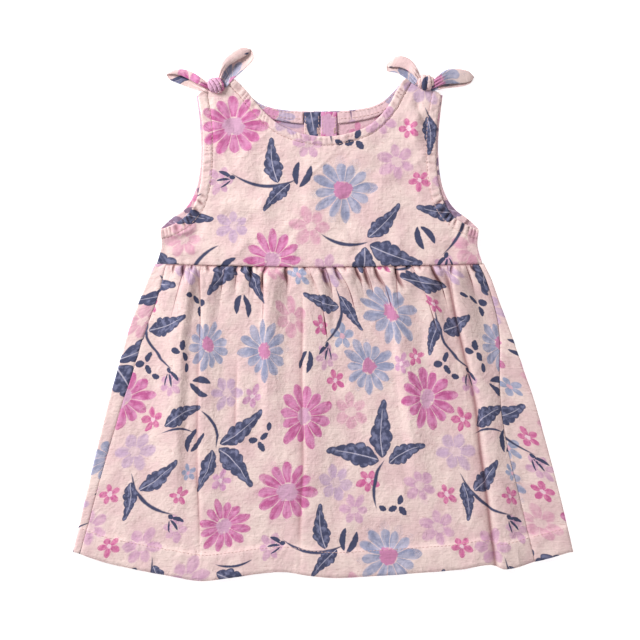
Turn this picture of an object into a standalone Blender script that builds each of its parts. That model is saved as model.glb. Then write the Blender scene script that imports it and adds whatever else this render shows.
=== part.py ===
"""A baby's sleeveless gathered top, cut as a short dress and laid flat on its back.

The frame: +X runs across to the right of someone looking down at the front, +Y up to
the shoulders, +Z up from the surface it lies on. The origin is in the middle of the
outline, on that surface. Sizes are in millimetres and become metres in world().

The pieces are those that a maker cuts and sews: a front bodice, two back bodice halves
that lap over at a placket with press snaps, two placket strips, neck and armhole
facings inside the back, a gathered front skirt, a gathered back skirt that turns round
both sides to its seams, and a knotted tie on each shoulder.
"""

import math
from collections import namedtuple

import bmesh
import bpy

# ---------------------------------------------------------------- driving sizes, mm
MM = 0.001
CLOTH = 1.0  # one layer of cloth
GAP = 0.3  # between two pieces at a seam, and between layers that lie on each other

BODICE_X = -2.8  # the bodice's centre line: the skirt lies spread a little to the right
WAIST_CENTRE_Y = 36.4
WAIST_SIDE_Y = 39.2
HEM_SIDE_Y = -189.4
HEM_START = 0.914  # share of the skirt's length where the turned-up hem begins
HEM_STEP = 0.006  # share of the length over which the wall doubles

LAP_X = 7.0  # how far the left back half runs under the right one, past the frame's X = 0
LAP_EDGE_X = -1.9  # the free edge of the right back half
LAP_SPAN = 130.0  # the back rises evenly from its side seam to the lap over this width

STRIP_LEFT = (-15.2, -2.2)  # the placket strip on the left half, from X to X
STRIP_RIGHT = (-1.6, 11.2)  # the placket strip on the right half
STRIP_TOP_Y = 160.6
STRIP_FOOT_Y = 37.4

SNAP_RADIUS = 4.5
SNAP_X = 2.2
SNAP_HEIGHTS = (150.0, 100.0, 50.0)
SNAP_SIDES = 20
PLACKET_STEPS = 8  # faces along a placket strip

NECK_FACING_WIDTH = 10.0
ARMHOLE_FACING_WIDTH = 8.0

KNOT_REACH = 6.5  # half the knot's width along the shoulder
KNOT_DEPTH = 5.8  # half its width across the shoulder
KNOT_RISE = 5.0  # half its height
KNOT_Z = 5.3
KNOT_SIDES = 12
KNOT_FULLNESS = 0.6  # how boxy it is: 1 would be an egg

# ---------------------------------------------------------------- tables, mm
# The bodice, a row for each section from the waist to the shoulder. side and side_y are
# on the side seam and then the armhole, as a half width; inner and inner_y are on the
# centre line and then the neck edge; lean is how far the neck is drawn to the right.
Section = namedtuple("Section", "side side_y inner inner_y lean")
FRONT_BODICE = [
    Section(130.0, 39.2, 0.0, 36.4, 0.0),
    Section(126.0, 54.0, 0.0, 56.0, 0.5),
    Section(127.0, 67.2, 0.0, 78.0, 1.2),
    Section(119.0, 70.2, 0.0, 92.0, 1.8),
    Section(110.7, 74.8, 0.0, 104.0, 2.4),
    Section(103.8, 81.2, 0.0, 116.0, 3.0),
    Section(98.2, 91.2, 0.0, 129.0, 3.6),
    Section(94.9, 104.4, 0.0, 141.2, 4.2),
    Section(93.5, 118.8, 17.6, 143.4, 4.2),
    Section(93.1, 132.0, 33.6, 149.2, 4.2),
    Section(93.4, 146.8, 44.2, 157.4, 3.8),
    Section(94.7, 158.8, 52.8, 167.2, 3.0),
    Section(96.2, 167.2, 59.6, 177.4, 1.6),
    Section(97.6, 175.6, 67.2, 187.4, 0.0),
]
BACK_BODICE = [
    Section(130.0, 39.2, 0.0, 36.4, 0.0),
    Section(126.0, 54.0, 0.0, 58.0, 0.0),
    Section(127.0, 67.6, 0.0, 82.0, 0.0),
    Section(118.4, 75.6, 0.0, 104.0, 0.0),
    Section(108.6, 82.8, 0.0, 124.0, 0.0),
    Section(102.4, 90.8, 0.0, 144.0, 0.0),
    Section(98.0, 101.6, 0.0, 161.2, 0.0),
    Section(95.6, 114.8, 15.2, 161.6, 0.0),
    Section(94.6, 130.8, 28.0, 162.6, 0.0),
    Section(95.2, 146.8, 40.0, 164.8, 0.0),
    Section(96.4, 158.8, 50.0, 169.2, 0.0),
    Section(97.4, 167.4, 59.4, 177.6, 0.0),
    Section(98.4, 174.0, 67.2, 187.0, 0.0),
]
BODICE_COLUMNS = 7
SIDE_SEAM_ROWS = 2  # the sections, from the waist, whose outer end is the side seam
# How far each shoulder edge sinks under its knot, where, and over what share of it.
STRAP_DIPS = {-1.0: (7.0, 0.58, 0.24), 1.0: (2.8, 0.50, 0.20)}

# The skirt's outline, a row for each height: where its left and right sides lie, and how
# far in from them the side seams show on the front.
SkirtSide = namedtuple("SkirtSide", "height left right left_seam right_seam")
SKIRT_SIDES = [
    SkirtSide(39.2, -134.4, 128.8, 9.0, 4.5),
    SkirtSide(26.8, -140.0, 134.8, 11.5, 4.5),
    SkirtSide(10.8, -146.4, 140.4, 13.5, 5.0),
    SkirtSide(-5.2, -152.6, 146.4, 13.5, 7.0),
    SkirtSide(-21.2, -157.8, 152.2, 13.0, 11.0),
    SkirtSide(-37.2, -162.4, 158.0, 12.5, 17.0),
    SkirtSide(-69.2, -171.2, 168.8, 11.0, 27.0),
    SkirtSide(-101.2, -179.2, 177.8, 9.5, 30.5),
    SkirtSide(-133.2, -186.8, 186.4, 8.0, 31.0),
    SkirtSide(-165.2, -194.2, 194.2, 7.0, 31.0),
    SkirtSide(-189.4, -200.0, 200.0, 6.0, 31.0),
]
# The hem's edge, a row for each place across, as a share of the hem's width.
HemPoint = namedtuple("HemPoint", "across height")
HEM = [
    HemPoint(0.000, -189.4),
    HemPoint(0.062, -198.2),
    HemPoint(0.134, -204.6),
    HemPoint(0.194, -209.2),
    HemPoint(0.254, -213.2),
    HemPoint(0.314, -210.8),
    HemPoint(0.374, -207.4),
    HemPoint(0.424, -206.2),
    HemPoint(0.474, -209.2),
    HemPoint(0.524, -210.8),
    HemPoint(0.594, -209.4),
    HemPoint(0.694, -206.8),
    HemPoint(0.774, -204.2),
    HemPoint(0.834, -200.4),
    HemPoint(0.864, -203.4),
    HemPoint(0.914, -198.8),
    HemPoint(1.000, -189.4),
]
# The gathers sewn into the waist seam, a row for each. waist and hem say where its left
# valley lies, as a share of the skirt's width, and sway is how far it runs beside the
# straight line between them at its reach. reach is how far down it runs, as a share of
# the length; lean is where its crest stands between its two valleys.
Gather = namedtuple("Gather", "waist hem sway height reach lean")
FRONT_GATHERS = [
    Gather(None, None, 0.0, 1.8, 0.26, 0.50),  # starts at the left side seam
    Gather(0.095, 0.120, 0.0, 2.4, 0.34, 0.55),
    Gather(0.141, 0.236, 0.027, 3.4, 0.34, 0.35),
    Gather(0.213, 0.290, 0.0, 2.4, 0.14, 0.50),
    Gather(0.252, 0.316, 0.0, 1.8, 0.12, 0.50),
    Gather(0.295, 0.340, 0.0, 2.4, 0.15, 0.65),
    Gather(0.330, 0.368, 0.012, 3.0, 0.25, 0.35),
    Gather(0.400, 0.420, 0.006, 2.6, 0.16, 0.60),
    Gather(0.466, 0.500, 0.048, 3.0, 0.26, 0.35),
    Gather(0.516, 0.555, 0.018, 2.4, 0.13, 0.50),
    Gather(0.547, 0.610, 0.044, 2.8, 0.17, 0.40),
    Gather(0.606, 0.660, 0.014, 2.2, 0.10, 0.50),
    Gather(0.638, 0.695, 0.010, 2.4, 0.12, 0.40),
    Gather(0.667, 0.722, 0.026, 2.6, 0.15, 0.35),
    Gather(0.730, 0.755, -0.018, 2.8, 0.26, 0.50),
    Gather(0.781, 0.795, 0.028, 3.4, 0.27, 0.35),
    Gather(0.839, 0.832, 0.016, 2.8, 0.12, 0.35),
    Gather(0.887, 0.848, -0.012, 3.4, 0.36, 0.40),
    Gather(0.943, 0.888, 0.0, 2.2, 0.13, 0.50),
]
BACK_GATHER_HEIGHTS = (1.2, 1.6, 1.0, 1.5, 1.1, 1.6, 1.3)
BACK_GATHER_COUNT = 14
BACK_GATHER_REACH = 0.34
# The long folds that run down the skirt, a row for each: where the crest lies at the
# waist and at the hem, its left and right flanks, all as shares of the width, its
# height, and the shares of the length where it starts and ends.
Fold = namedtuple("Fold", "waist hem left_flank right_flank height start end")
FRONT_FOLDS = [
    Fold(0.118, 0.208, 0.070, 0.026, 3.2, 0.00, 0.85),
    Fold(0.176, 0.264, 0.011, 0.055, 2.2, 0.22, 1.00),
    Fold(0.288, 0.330, 0.012, 0.050, 2.0, 0.30, 0.70),
    Fold(0.358, 0.392, 0.026, 0.055, 2.6, 0.00, 0.60),
    Fold(0.466, 0.468, 0.012, 0.075, 2.8, 0.10, 1.05),
    Fold(0.712, 0.706, 0.026, 0.060, 2.8, 0.00, 0.80),
    Fold(0.815, 0.790, 0.040, 0.040, 2.2, 0.00, 0.50),
    Fold(0.893, 0.864, 0.018, 0.064, 4.6, 0.00, 1.20),
]
SKIRT_ROWS = (0.0, 0.03, 0.08, 0.15, 0.24, 0.35, 0.48, 0.62, 0.76,
              HEM_START - HEM_STEP, HEM_START + HEM_STEP, 1.0)
RISE_REACH = 0.36  # how far down the skirt the layers at the waist still lift the front
RISE_AT_SIDE, RISE_AT_MIDDLE = 2.0, 3.6  # how far they lift it
SIDE_REACH = 0.08  # the share of the width in which the layers rise from either side
TURN_ROOM = 1.4  # how far in from its turned edge the back skirt is full height
TURN_EASE = 0.15  # how much thicker its cloth is in the turn

# The shoulder ties, a row for each section of an end from the knot to its tip: how far
# out the section's middle lies and how far it has turned aside, then its half width,
# half height and the height of its middle. A tie end's shift is how far beside the
# knot's middle it starts.
EndSection = namedtuple("EndSection", "out aside half_width half_height middle_z")
TIE_LONG = [
    EndSection(0.0, 0.0, 4.2, 2.0, 5.9),
    EndSection(6.0, 1.2, 5.9, 3.3, 5.4),
    EndSection(13.0, 2.0, 7.0, 3.5, 3.6),
    EndSection(20.0, 1.8, 6.6, 3.0, 3.1),
    EndSection(26.5, 0.8, 4.4, 2.1, 2.3),
    EndSection(30.5, 0.0, 1.4, 0.9, 1.4),
]
Tie = namedtuple("Tie", "name x y ends")
TieEnd = namedtuple("TieEnd", "name angle size width bend shift")
TIES = [
    Tie("left", -85.4, 182.0, [
        TieEnd("outer", 161.8, 1.10, 0.90, -1.05, 4.0),
        TieEnd("inner", 49.0, 1.09, 1.22, 1.2, -2.2),
    ]),
    Tie("right", 82.1, 184.3, [
        TieEnd("inner", 151.8, 0.90, 1.04, -2.4, 1.7),
        TieEnd("outer", 12.2, 1.04, 1.08, 1.15, -3.4),
    ]),
]
END_SIDES = 10

# Colours of the cloths, as linear red, green and blue.
PINK_CLOTH = (0.83, 0.64, 0.60)
LILAC_CLOTH = (0.66, 0.40, 0.50)
TIE_CLOTH = (0.78, 0.52, 0.60)
SNAP_WHITE = (0.85, 0.80, 0.78)


# ---------------------------------------------------------------- small helpers
def between(a, b, t):
    """The value a share t of the way from a to b."""
    return a + (b - a) * t


def eased(t):
    """0 to 1 with soft ends, held outside that range."""
    t = min(max(t, 0.0), 1.0)
    return t * t * (3.0 - 2.0 * t)


def read(table, key, column, at):
    """A column of a table at a value of its key column, straight between the rows."""
    rows = sorted(table, key=lambda row: getattr(row, key))
    for low, high in zip(rows, rows[1:]):
        if at <= getattr(high, key) or high is rows[-1]:
            start, end = getattr(low, key), getattr(high, key)
            share = min(max((at - start) / (end - start), 0.0), 1.0)
            return between(getattr(low, column), getattr(high, column), share)
    return None


def world(points):
    """Millimetres to metres."""
    return [(x * MM, y * MM, z * MM) for x, y, z in points]


def cloth(name, colour, roughness=0.85):
    """A plain matt material, one for each piece."""
    made = bpy.data.materials.new(name + "_cloth")
    made.use_nodes = True
    shader = made.node_tree.nodes["Principled BSDF"]
    shader.inputs["Base Color"].default_value = (*colour, 1.0)
    shader.inputs["Roughness"].default_value = roughness
    shader.inputs["Metallic"].default_value = 0.0
    return made


def add_object(name, points, faces, colour):
    """A closed mesh in the scene, its faces turned outwards and shaded smooth."""
    mesh = bpy.data.meshes.new(name)
    mesh.from_pydata(world(points), [], faces)
    shape = bmesh.new()
    shape.from_mesh(mesh)
    bmesh.ops.recalc_face_normals(shape, faces=shape.faces)
    shape.to_mesh(mesh)
    shape.free()
    mesh.shade_smooth()
    mesh.set_sharp_from_angle(angle=math.radians(50))
    mesh.materials.append(cloth(name, colour))
    made = bpy.data.objects.new(name, mesh)
    bpy.context.collection.objects.link(made)
    return made


def add_wall(name, patches, colour):
    """A wall of cloth. Each patch is an outer and an inner grid of points, row by row.
    Points that two patches share are one, and the open rim is closed all round."""
    index, outer, inner, quads = {}, [], [], []

    def number(out_point, in_point):
        key = tuple(round(c, 4) for c in out_point)
        if key not in index:
            index[key] = len(outer)
            outer.append(out_point)
            inner.append(in_point)
        return index[key]

    for out_grid, in_grid, turned in patches:
        ids = [[number(o, i) for o, i in zip(*pair)] for pair in zip(out_grid, in_grid)]
        for low, high in zip(ids, ids[1:]):
            for a, b, c, d in zip(low, low[1:], high[1:], high):
                quads.append((d, c, b, a) if turned else (a, b, c, d))
    count = len(outer)
    faces = list(quads) + [tuple(i + count for i in reversed(quad)) for quad in quads]
    used = {(quad[k], quad[(k + 1) % 4]) for quad in quads for k in range(4)}
    rim = [(a, b) for a, b in used if (b, a) not in used]
    faces += [(b, a, a + count, b + count) for a, b in sorted(rim)]
    return add_object(name, outer + inner, faces, colour)


def add_loft(name, rings, colour):
    """A closed body through rings of points, with flat ends."""
    sides = len(rings[0])
    points = [point for ring in rings for point in ring]
    faces = [tuple(reversed(range(sides)))]
    faces.append(tuple(range(len(points) - sides, len(points))))
    for r in range(len(rings) - 1):
        for k in range(sides):
            a, b = r * sides + k, r * sides + (k + 1) % sides
            faces.append((a, b, b + sides, a + sides))
    return add_object(name, points, faces, colour)


# ---------------------------------------------------------------- bodice
def left_rise(x):
    """How far the left back half is held up at X by the snap caps under it."""
    return (CLOTH + GAP) * (1.0 - abs(x) / LAP_SPAN)


def right_rise(x):
    """The same on the right half, which laps over the left one."""
    return 2.0 * (CLOTH + GAP) * (1.0 - abs(x) / LAP_SPAN)


def front_rise(x):
    """The underside of the front bodice, clear of the facings and the placket."""
    return 2.0 * (CLOTH + GAP) * (2.0 - abs(x - BODICE_X) / LAP_SPAN)


def half_rows(sections, side, inner_x=None):
    """Rows of (x, y) across one half of the bodice, from its side to its inner edge."""
    rows = []
    for section in sections:
        outer_x = BODICE_X + side * section.side
        if section.inner == 0.0 and inner_x is not None:
            edge_x = inner_x
        else:
            edge_x = BODICE_X + side * section.inner + section.lean
        row = []
        for k in range(BODICE_COLUMNS + 1):
            share = k / BODICE_COLUMNS
            depth, middle, reach = STRAP_DIPS[side]
            dip = depth * math.exp(-((share - middle) / reach) ** 2)
            sunk = dip if section is sections[-1] else 0.0
            row.append((between(outer_x, edge_x, share),
                        between(section.side_y, section.inner_y, share) - sunk))
        rows.append(row)
    return rows


def raised(rows, rise):
    """The outer and inner grids of a wall whose underside lies at rise(x)."""
    low = [[(x, y, rise(x)) for x, y in row] for row in rows]
    return lifted(low), low


def lifted(low):
    """The outer grid of a wall of one layer, from its inner grid."""
    return [[(x, y, z + CLOTH) for x, y, z in row] for row in low]


def add_front_bodice():
    """One panel with two straps, its halves joined down the centre."""
    patches = []
    for side in (-1.0, 1.0):
        rows = half_rows(FRONT_BODICE, side)
        _, low = raised(rows, front_rise)
        for row in low[:SIDE_SEAM_ROWS]:
            x, y, _ = row[0]
            row[0] = (x, y, CLOTH + GAP)
        patches.append((lifted(low), low, side > 0))
    return add_wall("front_bodice", patches, PINK_CLOTH)


def add_back_bodice():
    """Two halves that lap at the centre back."""
    for name, side, inner_x, rise in (
        ("back_bodice_left", -1.0, LAP_X, left_rise),
        ("back_bodice_right", 1.0, LAP_EDGE_X, right_rise),
    ):
        top, low = raised(half_rows(BACK_BODICE, side, inner_x), rise)
        add_wall(name, [(top, low, side > 0)], PINK_CLOTH)


def add_placket():
    """A strip along the opening on each half, and the snap caps beneath the lap."""
    for name, (start, end), rise in (
        ("back_placket_left", STRIP_LEFT, left_rise),
        ("back_placket_right", STRIP_RIGHT, right_rise),
    ):
        rows = []
        for k in range(PLACKET_STEPS + 1):
            y = between(STRIP_FOOT_Y, STRIP_TOP_Y, k / PLACKET_STEPS)
            rows.append([(start, y), (between(start, end, 0.5), y), (end, y)])
        seat = lambda x, under=rise: under(x) + CLOTH + GAP
        top, low = raised(rows, seat)
        add_wall(name, [(top, low, False)], LILAC_CLOTH)
    for number, height in enumerate(SNAP_HEIGHTS, start=1):
        rings = []
        for radius, z in ((0.8, 0.0), (1.0, 0.25), (1.0, 0.7), (0.8, 0.95)):
            ring = []
            for k in range(SNAP_SIDES):
                turn = 2.0 * math.pi * k / SNAP_SIDES
                ring.append((SNAP_X + SNAP_RADIUS * radius * math.cos(turn),
                             height + SNAP_RADIUS * radius * math.sin(turn), z))
            rings.append(ring)
        add_loft(f"back_snap_{number}", rings, SNAP_WHITE)


def edge_strip(edge, width, side, taper=1.0):
    """Rows across a strip that follows an edge and lies inside it."""
    rows = []
    for k, (x, y) in enumerate(edge):
        before, after = edge[max(k - 1, 0)], edge[min(k + 1, len(edge) - 1)]
        dx, dy = after[0] - before[0], after[1] - before[1]
        length = math.hypot(dx, dy)
        wide = width * between(1.0, taper, k / (len(edge) - 1))
        inward = (side * dy / length * wide, -side * dx / length * wide)
        rows.append([(x + inward[0] * share, y + inward[1] * share) for share in (0.02, 0.5, 1.0)])
    return rows


def add_facings():
    """Strips inside the back: round the neck on each half, and round each armhole."""
    for name, side, rise, start in (
        ("left", -1.0, left_rise, STRIP_LEFT[0] - GAP),
        ("right", 1.0, right_rise, STRIP_RIGHT[1] + GAP),
    ):
        seat = lambda x, under=rise: under(x) + CLOTH + GAP
        neck = [(start, 161.2)]
        neck += [(BODICE_X + side * row.inner, row.inner_y) for row in BACK_BODICE
                 if row.inner > 20.0]
        rows = edge_strip(neck, NECK_FACING_WIDTH, side, taper=0.72)
        rows[0] = [(start, 161.0 - NECK_FACING_WIDTH * share) for share in (0.0, 0.5, 1.0)]
        top, low = raised(rows, seat)
        add_wall("neck_facing_" + name, [(top, low, side < 0)], LILAC_CLOTH)

        armhole = [(BODICE_X + side * row.side, row.side_y) for row in BACK_BODICE[3:]]
        rows = edge_strip(armhole, ARMHOLE_FACING_WIDTH, -side)
        top, low = raised(rows, seat)
        add_wall("armhole_facing_" + name, [(top, low, side < 0)], LILAC_CLOTH)


# ---------------------------------------------------------------- skirt
def skirt_place(across, down):
    """Where a point of the skirt lies: across is its share of the width, down of the length."""
    height = between(WAIST_SIDE_Y, HEM_SIDE_Y, down)
    left = read(SKIRT_SIDES, "height", "left", height)
    right = read(SKIRT_SIDES, "height", "right", height)
    waist = between(WAIST_CENTRE_Y, WAIST_SIDE_Y, (2.0 * across - 1.0) ** 2) - GAP
    hem = read(HEM, "across", "height", across)
    return between(left, right, across), between(waist, hem, down)


def seam_across(down, column):
    """A side seam's share of the width at a share of the length."""
    height = between(WAIST_SIDE_Y, HEM_SIDE_Y, down)
    width = (read(SKIRT_SIDES, "height", "right", height)
             - read(SKIRT_SIDES, "height", "left", height))
    inset = read(SKIRT_SIDES, "height", column, height) / width
    return inset if column == "left_seam" else 1.0 - inset


def wall_thickness(down):
    """One layer, and two in the turned-up hem."""
    hem = eased((down - HEM_START + HEM_STEP) / (2.0 * HEM_STEP))
    return CLOTH * (1.0 + hem)


def in_from_side(across):
    """0 at either side of the skirt, 1 further in."""
    return eased(min(across, 1.0 - across) / SIDE_REACH)


def fade(down, reach):
    """1 at the waist, softly down to 0 at reach."""
    return 1.0 - eased(down / reach)


def fold_height(across, down):
    """How far the long folds stand up."""
    total = 0.0
    for fold in FRONT_FOLDS:
        crest = between(fold.waist, fold.hem, down)
        flank = fold.left_flank if across < crest else fold.right_flank
        rise = 1.0 - eased(abs(across - crest) / flank)
        ends = eased((down - fold.start) / 0.12 + 0.35) * eased((fold.end - down) / 0.25)
        total += fold.height * rise * ends
    return total


def front_floor(across, down):
    """The underside of the front skirt between its gathers: on the back skirt, and
    lifted near the waist by the back's gathers and the placket's layers."""
    tent = 1.0 - abs(2.0 * across - 1.0)
    lift = between(RISE_AT_SIDE, RISE_AT_MIDDLE, tent) * fade(down, RISE_REACH)
    base = GAP + wall_thickness(down) + lift * in_from_side(across)
    return base + fold_height(across, down)


def valley_path(gather, down):
    """The share of the width where a gather's left valley runs."""
    t = down / gather.reach
    return between(gather.waist, gather.hem, down) + gather.sway * t * math.exp(1.0 - t)


def add_front_skirt():
    """A wall whose columns follow the gathers: valley, flank, crest, flank."""
    shape = ((0.0, 0.0), (0.25, 0.78), (0.5, 1.0), (0.75, 0.78))
    top, low = [], []
    for down in SKIRT_ROWS:
        valleys = [valley_path(gather, down) for gather in FRONT_GATHERS[1:]]
        valleys = [seam_across(down, "left_seam"), *valleys, seam_across(down, "right_seam")]
        upper, lower = [], []
        for gather, start, end in zip(FRONT_GATHERS, valleys, valleys[1:]):
            for step, rise in shape:
                if step < 0.5:
                    share = 2.0 * step * gather.lean
                else:
                    share = gather.lean + (2.0 * step - 1.0) * (1.0 - gather.lean)
                across = between(start, end, share)
                height = gather.height * rise * fade(down, gather.reach)
                lower.append((across, front_floor(across, down) + height))
        lower.append((valleys[-1], front_floor(valleys[-1], down)))
        places = [skirt_place(across, down) for across, _ in lower]
        places[0] = (places[0][0] + GAP / 2.0, places[0][1])
        places[-1] = (places[-1][0] - GAP / 2.0, places[-1][1])
        thick = wall_thickness(down)
        low.append([(x, y, z) for (x, y), (_, z) in zip(places, lower)])
        top.append([(x, y, z + thick) for x, y, z in low[-1]])
    return add_wall("front_skirt", [(top, low, False)], PINK_CLOTH)


def back_gather(across, down):
    """How far the back skirt's gathers stand up at a place."""
    number = across * BACK_GATHER_COUNT
    height = BACK_GATHER_HEIGHTS[int(number) % len(BACK_GATHER_HEIGHTS)]
    bump = math.sin(math.pi * (number % 1.0))
    return height * bump * fade(down, BACK_GATHER_REACH) * in_from_side(across)


def add_back_skirt():
    """A sheet on the surface that turns up round both sides and ends at the side seams."""
    outer, inner = [], []
    for down in SKIRT_ROWS:
        thick = wall_thickness(down)
        left_x, _ = skirt_place(0.0, down)
        right_x, _ = skirt_place(1.0, down)
        out_row, in_row = [], []

        def wrap(column, edge_x, sign):
            """The columns over the top, from the seam to just inside the turn."""
            seam = seam_across(down, column)
            edge = 0.0 if sign > 0 else 1.0
            turn = (thick + TURN_ROOM) / (right_x - left_x)
            near = edge + sign * turn
            made = []
            for share in (0.0, 0.4, 0.8, 1.0):
                across = between(seam, near, share)
                x, y = skirt_place(across, down)
                if share == 0.0:
                    x -= sign * GAP / 2.0
                z = front_floor(across, down)
                made.append(((x, y, z + thick), (x, y, z)))
            x, y = skirt_place(edge, down)
            middle = (2.0 * thick + GAP) / 2.0
            made.append(((x, y, middle), (x + sign * (thick + TURN_EASE), y, middle)))
            return made

        left_side = wrap("left_seam", left_x, 1.0)
        right_side = wrap("right_seam", right_x, -1.0)
        turn = (thick + TURN_ROOM) / (right_x - left_x)
        middle = []
        columns = 2 * BACK_GATHER_COUNT
        for k in range(columns + 1):
            across = min(max(k / columns, turn), 1.0 - turn)
            x, y = skirt_place(across, down)
            z = back_gather(across, down)
            middle.append(((x, y, z), (x, y, z + thick)))
        for out_point, in_point in left_side + middle + right_side[::-1]:
            out_row.append(out_point)
            in_row.append(in_point)
        outer.append(out_row)
        inner.append(in_row)
    return add_wall("back_skirt", [(outer, inner, False)], PINK_CLOTH)


# ---------------------------------------------------------------- shoulder ties
def add_tie(tie):
    """A strip knotted on the shoulder edge: the knot, and an end to each side."""
    rings = []
    for k in range(1, 8):
        turn = math.pi * k / 8
        full = math.sin(turn) ** KNOT_FULLNESS
        along = -KNOT_REACH * math.cos(turn)
        ring = []
        for s in range(KNOT_SIDES):
            around = 2.0 * math.pi * s / KNOT_SIDES
            ring.append((tie.x + along, tie.y + KNOT_DEPTH * full * math.cos(around),
                         KNOT_Z + KNOT_RISE * full * math.sin(around)))
        rings.append(ring)
    add_loft("tie_knot_" + tie.name, rings, TIE_CLOTH)

    for end in tie.ends:
        angle = math.radians(end.angle)
        away = (math.cos(angle), math.sin(angle))
        aside = (-away[1], away[0])
        rings = []
        for section in TIE_LONG:
            out = KNOT_REACH + GAP + section.out * end.size
            bend = end.shift + section.aside * end.bend
            middle = (tie.x + away[0] * out + aside[0] * bend,
                      tie.y + away[1] * out + aside[1] * bend)
            ring = []
            for s in range(END_SIDES):
                around = 2.0 * math.pi * s / END_SIDES
                across = section.half_width * end.width * math.cos(around)
                ring.append((middle[0] + aside[0] * across, middle[1] + aside[1] * across,
                             section.middle_z + section.half_height * math.sin(around)))
            rings.append(ring)
        add_loft(f"tie_end_{end.name}_{tie.name}", rings, TIE_CLOTH)


def build():
    """Clears the scene and makes every piece."""
    for old in list(bpy.data.objects):
        bpy.data.objects.remove(old, do_unlink=True)
    add_front_bodice()
    add_back_bodice()
    add_placket()
    add_facings()
    add_front_skirt()
    add_back_skirt()
    for tie in TIES:
        add_tie(tie)


build()
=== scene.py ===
# %% [markdown]
# # A baby's dress, laid flat
#
# The construction model gives plain solids: a front bodice, two back halves that lap, a
# gathered skirt in two panels and a knotted tie on each shoulder. This lesson dresses
# them. Every panel becomes a thin shell of cotton with the folds, puckers and sewn edges
# that real cloth has, and a painted flower print runs over all of them. Lengths are in
# millimetres until a mesh is made, because that is how a maker measures cloth.

# %% Load the construction model
import math
from collections import namedtuple

import bpy
import numpy as np
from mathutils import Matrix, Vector
from mathutils.bvhtree import BVHTree


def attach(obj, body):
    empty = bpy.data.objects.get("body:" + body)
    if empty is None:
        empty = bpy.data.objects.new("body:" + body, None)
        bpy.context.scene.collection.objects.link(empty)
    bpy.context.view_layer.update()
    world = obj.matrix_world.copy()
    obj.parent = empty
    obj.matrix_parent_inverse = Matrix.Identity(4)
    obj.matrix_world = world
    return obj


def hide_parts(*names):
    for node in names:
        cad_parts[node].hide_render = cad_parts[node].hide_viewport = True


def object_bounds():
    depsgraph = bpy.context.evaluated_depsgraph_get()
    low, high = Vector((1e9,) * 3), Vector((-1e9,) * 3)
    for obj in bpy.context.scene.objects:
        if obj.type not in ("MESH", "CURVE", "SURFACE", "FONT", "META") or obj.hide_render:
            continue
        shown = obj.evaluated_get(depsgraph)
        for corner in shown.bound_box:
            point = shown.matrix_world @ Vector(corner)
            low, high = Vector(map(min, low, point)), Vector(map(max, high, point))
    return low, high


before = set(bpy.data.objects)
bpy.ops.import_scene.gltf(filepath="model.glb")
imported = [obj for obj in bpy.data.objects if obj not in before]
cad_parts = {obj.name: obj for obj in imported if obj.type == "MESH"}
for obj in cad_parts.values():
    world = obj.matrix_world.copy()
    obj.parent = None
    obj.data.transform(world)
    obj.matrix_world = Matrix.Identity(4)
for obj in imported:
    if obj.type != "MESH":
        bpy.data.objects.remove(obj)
cad_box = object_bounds()
MM = 0.001
print("nodes", len(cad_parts), "overall", [round(b - a, 3) for a, b in zip(*cad_box)])

# %% [markdown]
# ## The table, the light and the camera
#
# A garment laid flat is looked at from straight above. A large soft light, low on one side,
# lets each fold throw a faint shade. A weak one opposite and a pale sky fill the rest, and
# the card glows a little. A long lens keeps the outline nearly free of perspective.

# %% The surface that it lies on
bpy.ops.object.select_all(action="DESELECT")
bpy.ops.mesh.primitive_plane_add(size=8.0, location=(0.0, 0.0, cad_box[0][2]))
table_top = bpy.context.object
table_top.name = "table_top"
white_card = bpy.data.materials.new("white card")
white_card.use_nodes = True
card_shader = white_card.node_tree.nodes["Principled BSDF"]
card_shader.inputs["Base Color"].default_value = (0.93, 0.93, 0.93, 1.0)
card_shader.inputs["Roughness"].default_value = 0.9
card_shader.inputs["Emission Color"].default_value = (1.0, 1.0, 1.0, 1.0)
card_shader.inputs["Emission Strength"].default_value = 0.65  # lit through, so shadows stay faint
table_top.data.materials.append(white_card)
print("table top at", round(cad_box[0][2], 4))

# %% Light
Lamp = namedtuple("Lamp", "name place size watts")
LAMPS = [
    Lamp("key softbox", (-1.5, 1.1, 1.25), 0.8, 55.0),
    Lamp("fill softbox", (1.5, -0.8, 1.9), 1.6, 5.0),
]
for lamp in LAMPS:
    light = bpy.data.lights.new(lamp.name, "AREA")
    light.size = lamp.size
    light.energy = lamp.watts
    holder = bpy.data.objects.new(lamp.name, light)
    holder.location = lamp.place
    holder.rotation_euler = (-Vector(lamp.place)).to_track_quat("-Z", "Y").to_euler()
    bpy.context.collection.objects.link(holder)
sky = bpy.data.worlds.new("warm sky")
sky.use_nodes = True
sky.node_tree.nodes["Background"].inputs["Color"].default_value = (1.0, 0.955, 0.96, 1.0)
sky.node_tree.nodes["Background"].inputs["Strength"].default_value = 0.35
bpy.context.scene.world = sky
bpy.context.scene.view_settings.view_transform = "Standard"
print("lamps", len(LAMPS))

# %% Camera
VIEW_WIDTH = 0.512
VIEW_CENTRE = (-0.0024, -0.0052)
LENS_MM = 110.0
SENSOR_MM = 36.0
lens = bpy.data.cameras.new("overhead")
lens.lens = LENS_MM
lens.sensor_width = SENSOR_MM
overhead = bpy.data.objects.new("overhead", lens)
overhead.location = (*VIEW_CENTRE, VIEW_WIDTH * LENS_MM / SENSOR_MM)
bpy.context.collection.objects.link(overhead)
bpy.context.scene.camera = overhead
print("camera height", round(overhead.location.z, 3))

# %% [markdown]
# ## Ways to describe soft shapes
#
# Folds have no straight lines in them, so the sums below work on whole arrays of places
# at once. A soft step starts and ends gently. A curve runs smoothly through a table's
# rows. An unevenness is a field of low bumps, the same on every run because its dice are
# seeded.


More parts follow.
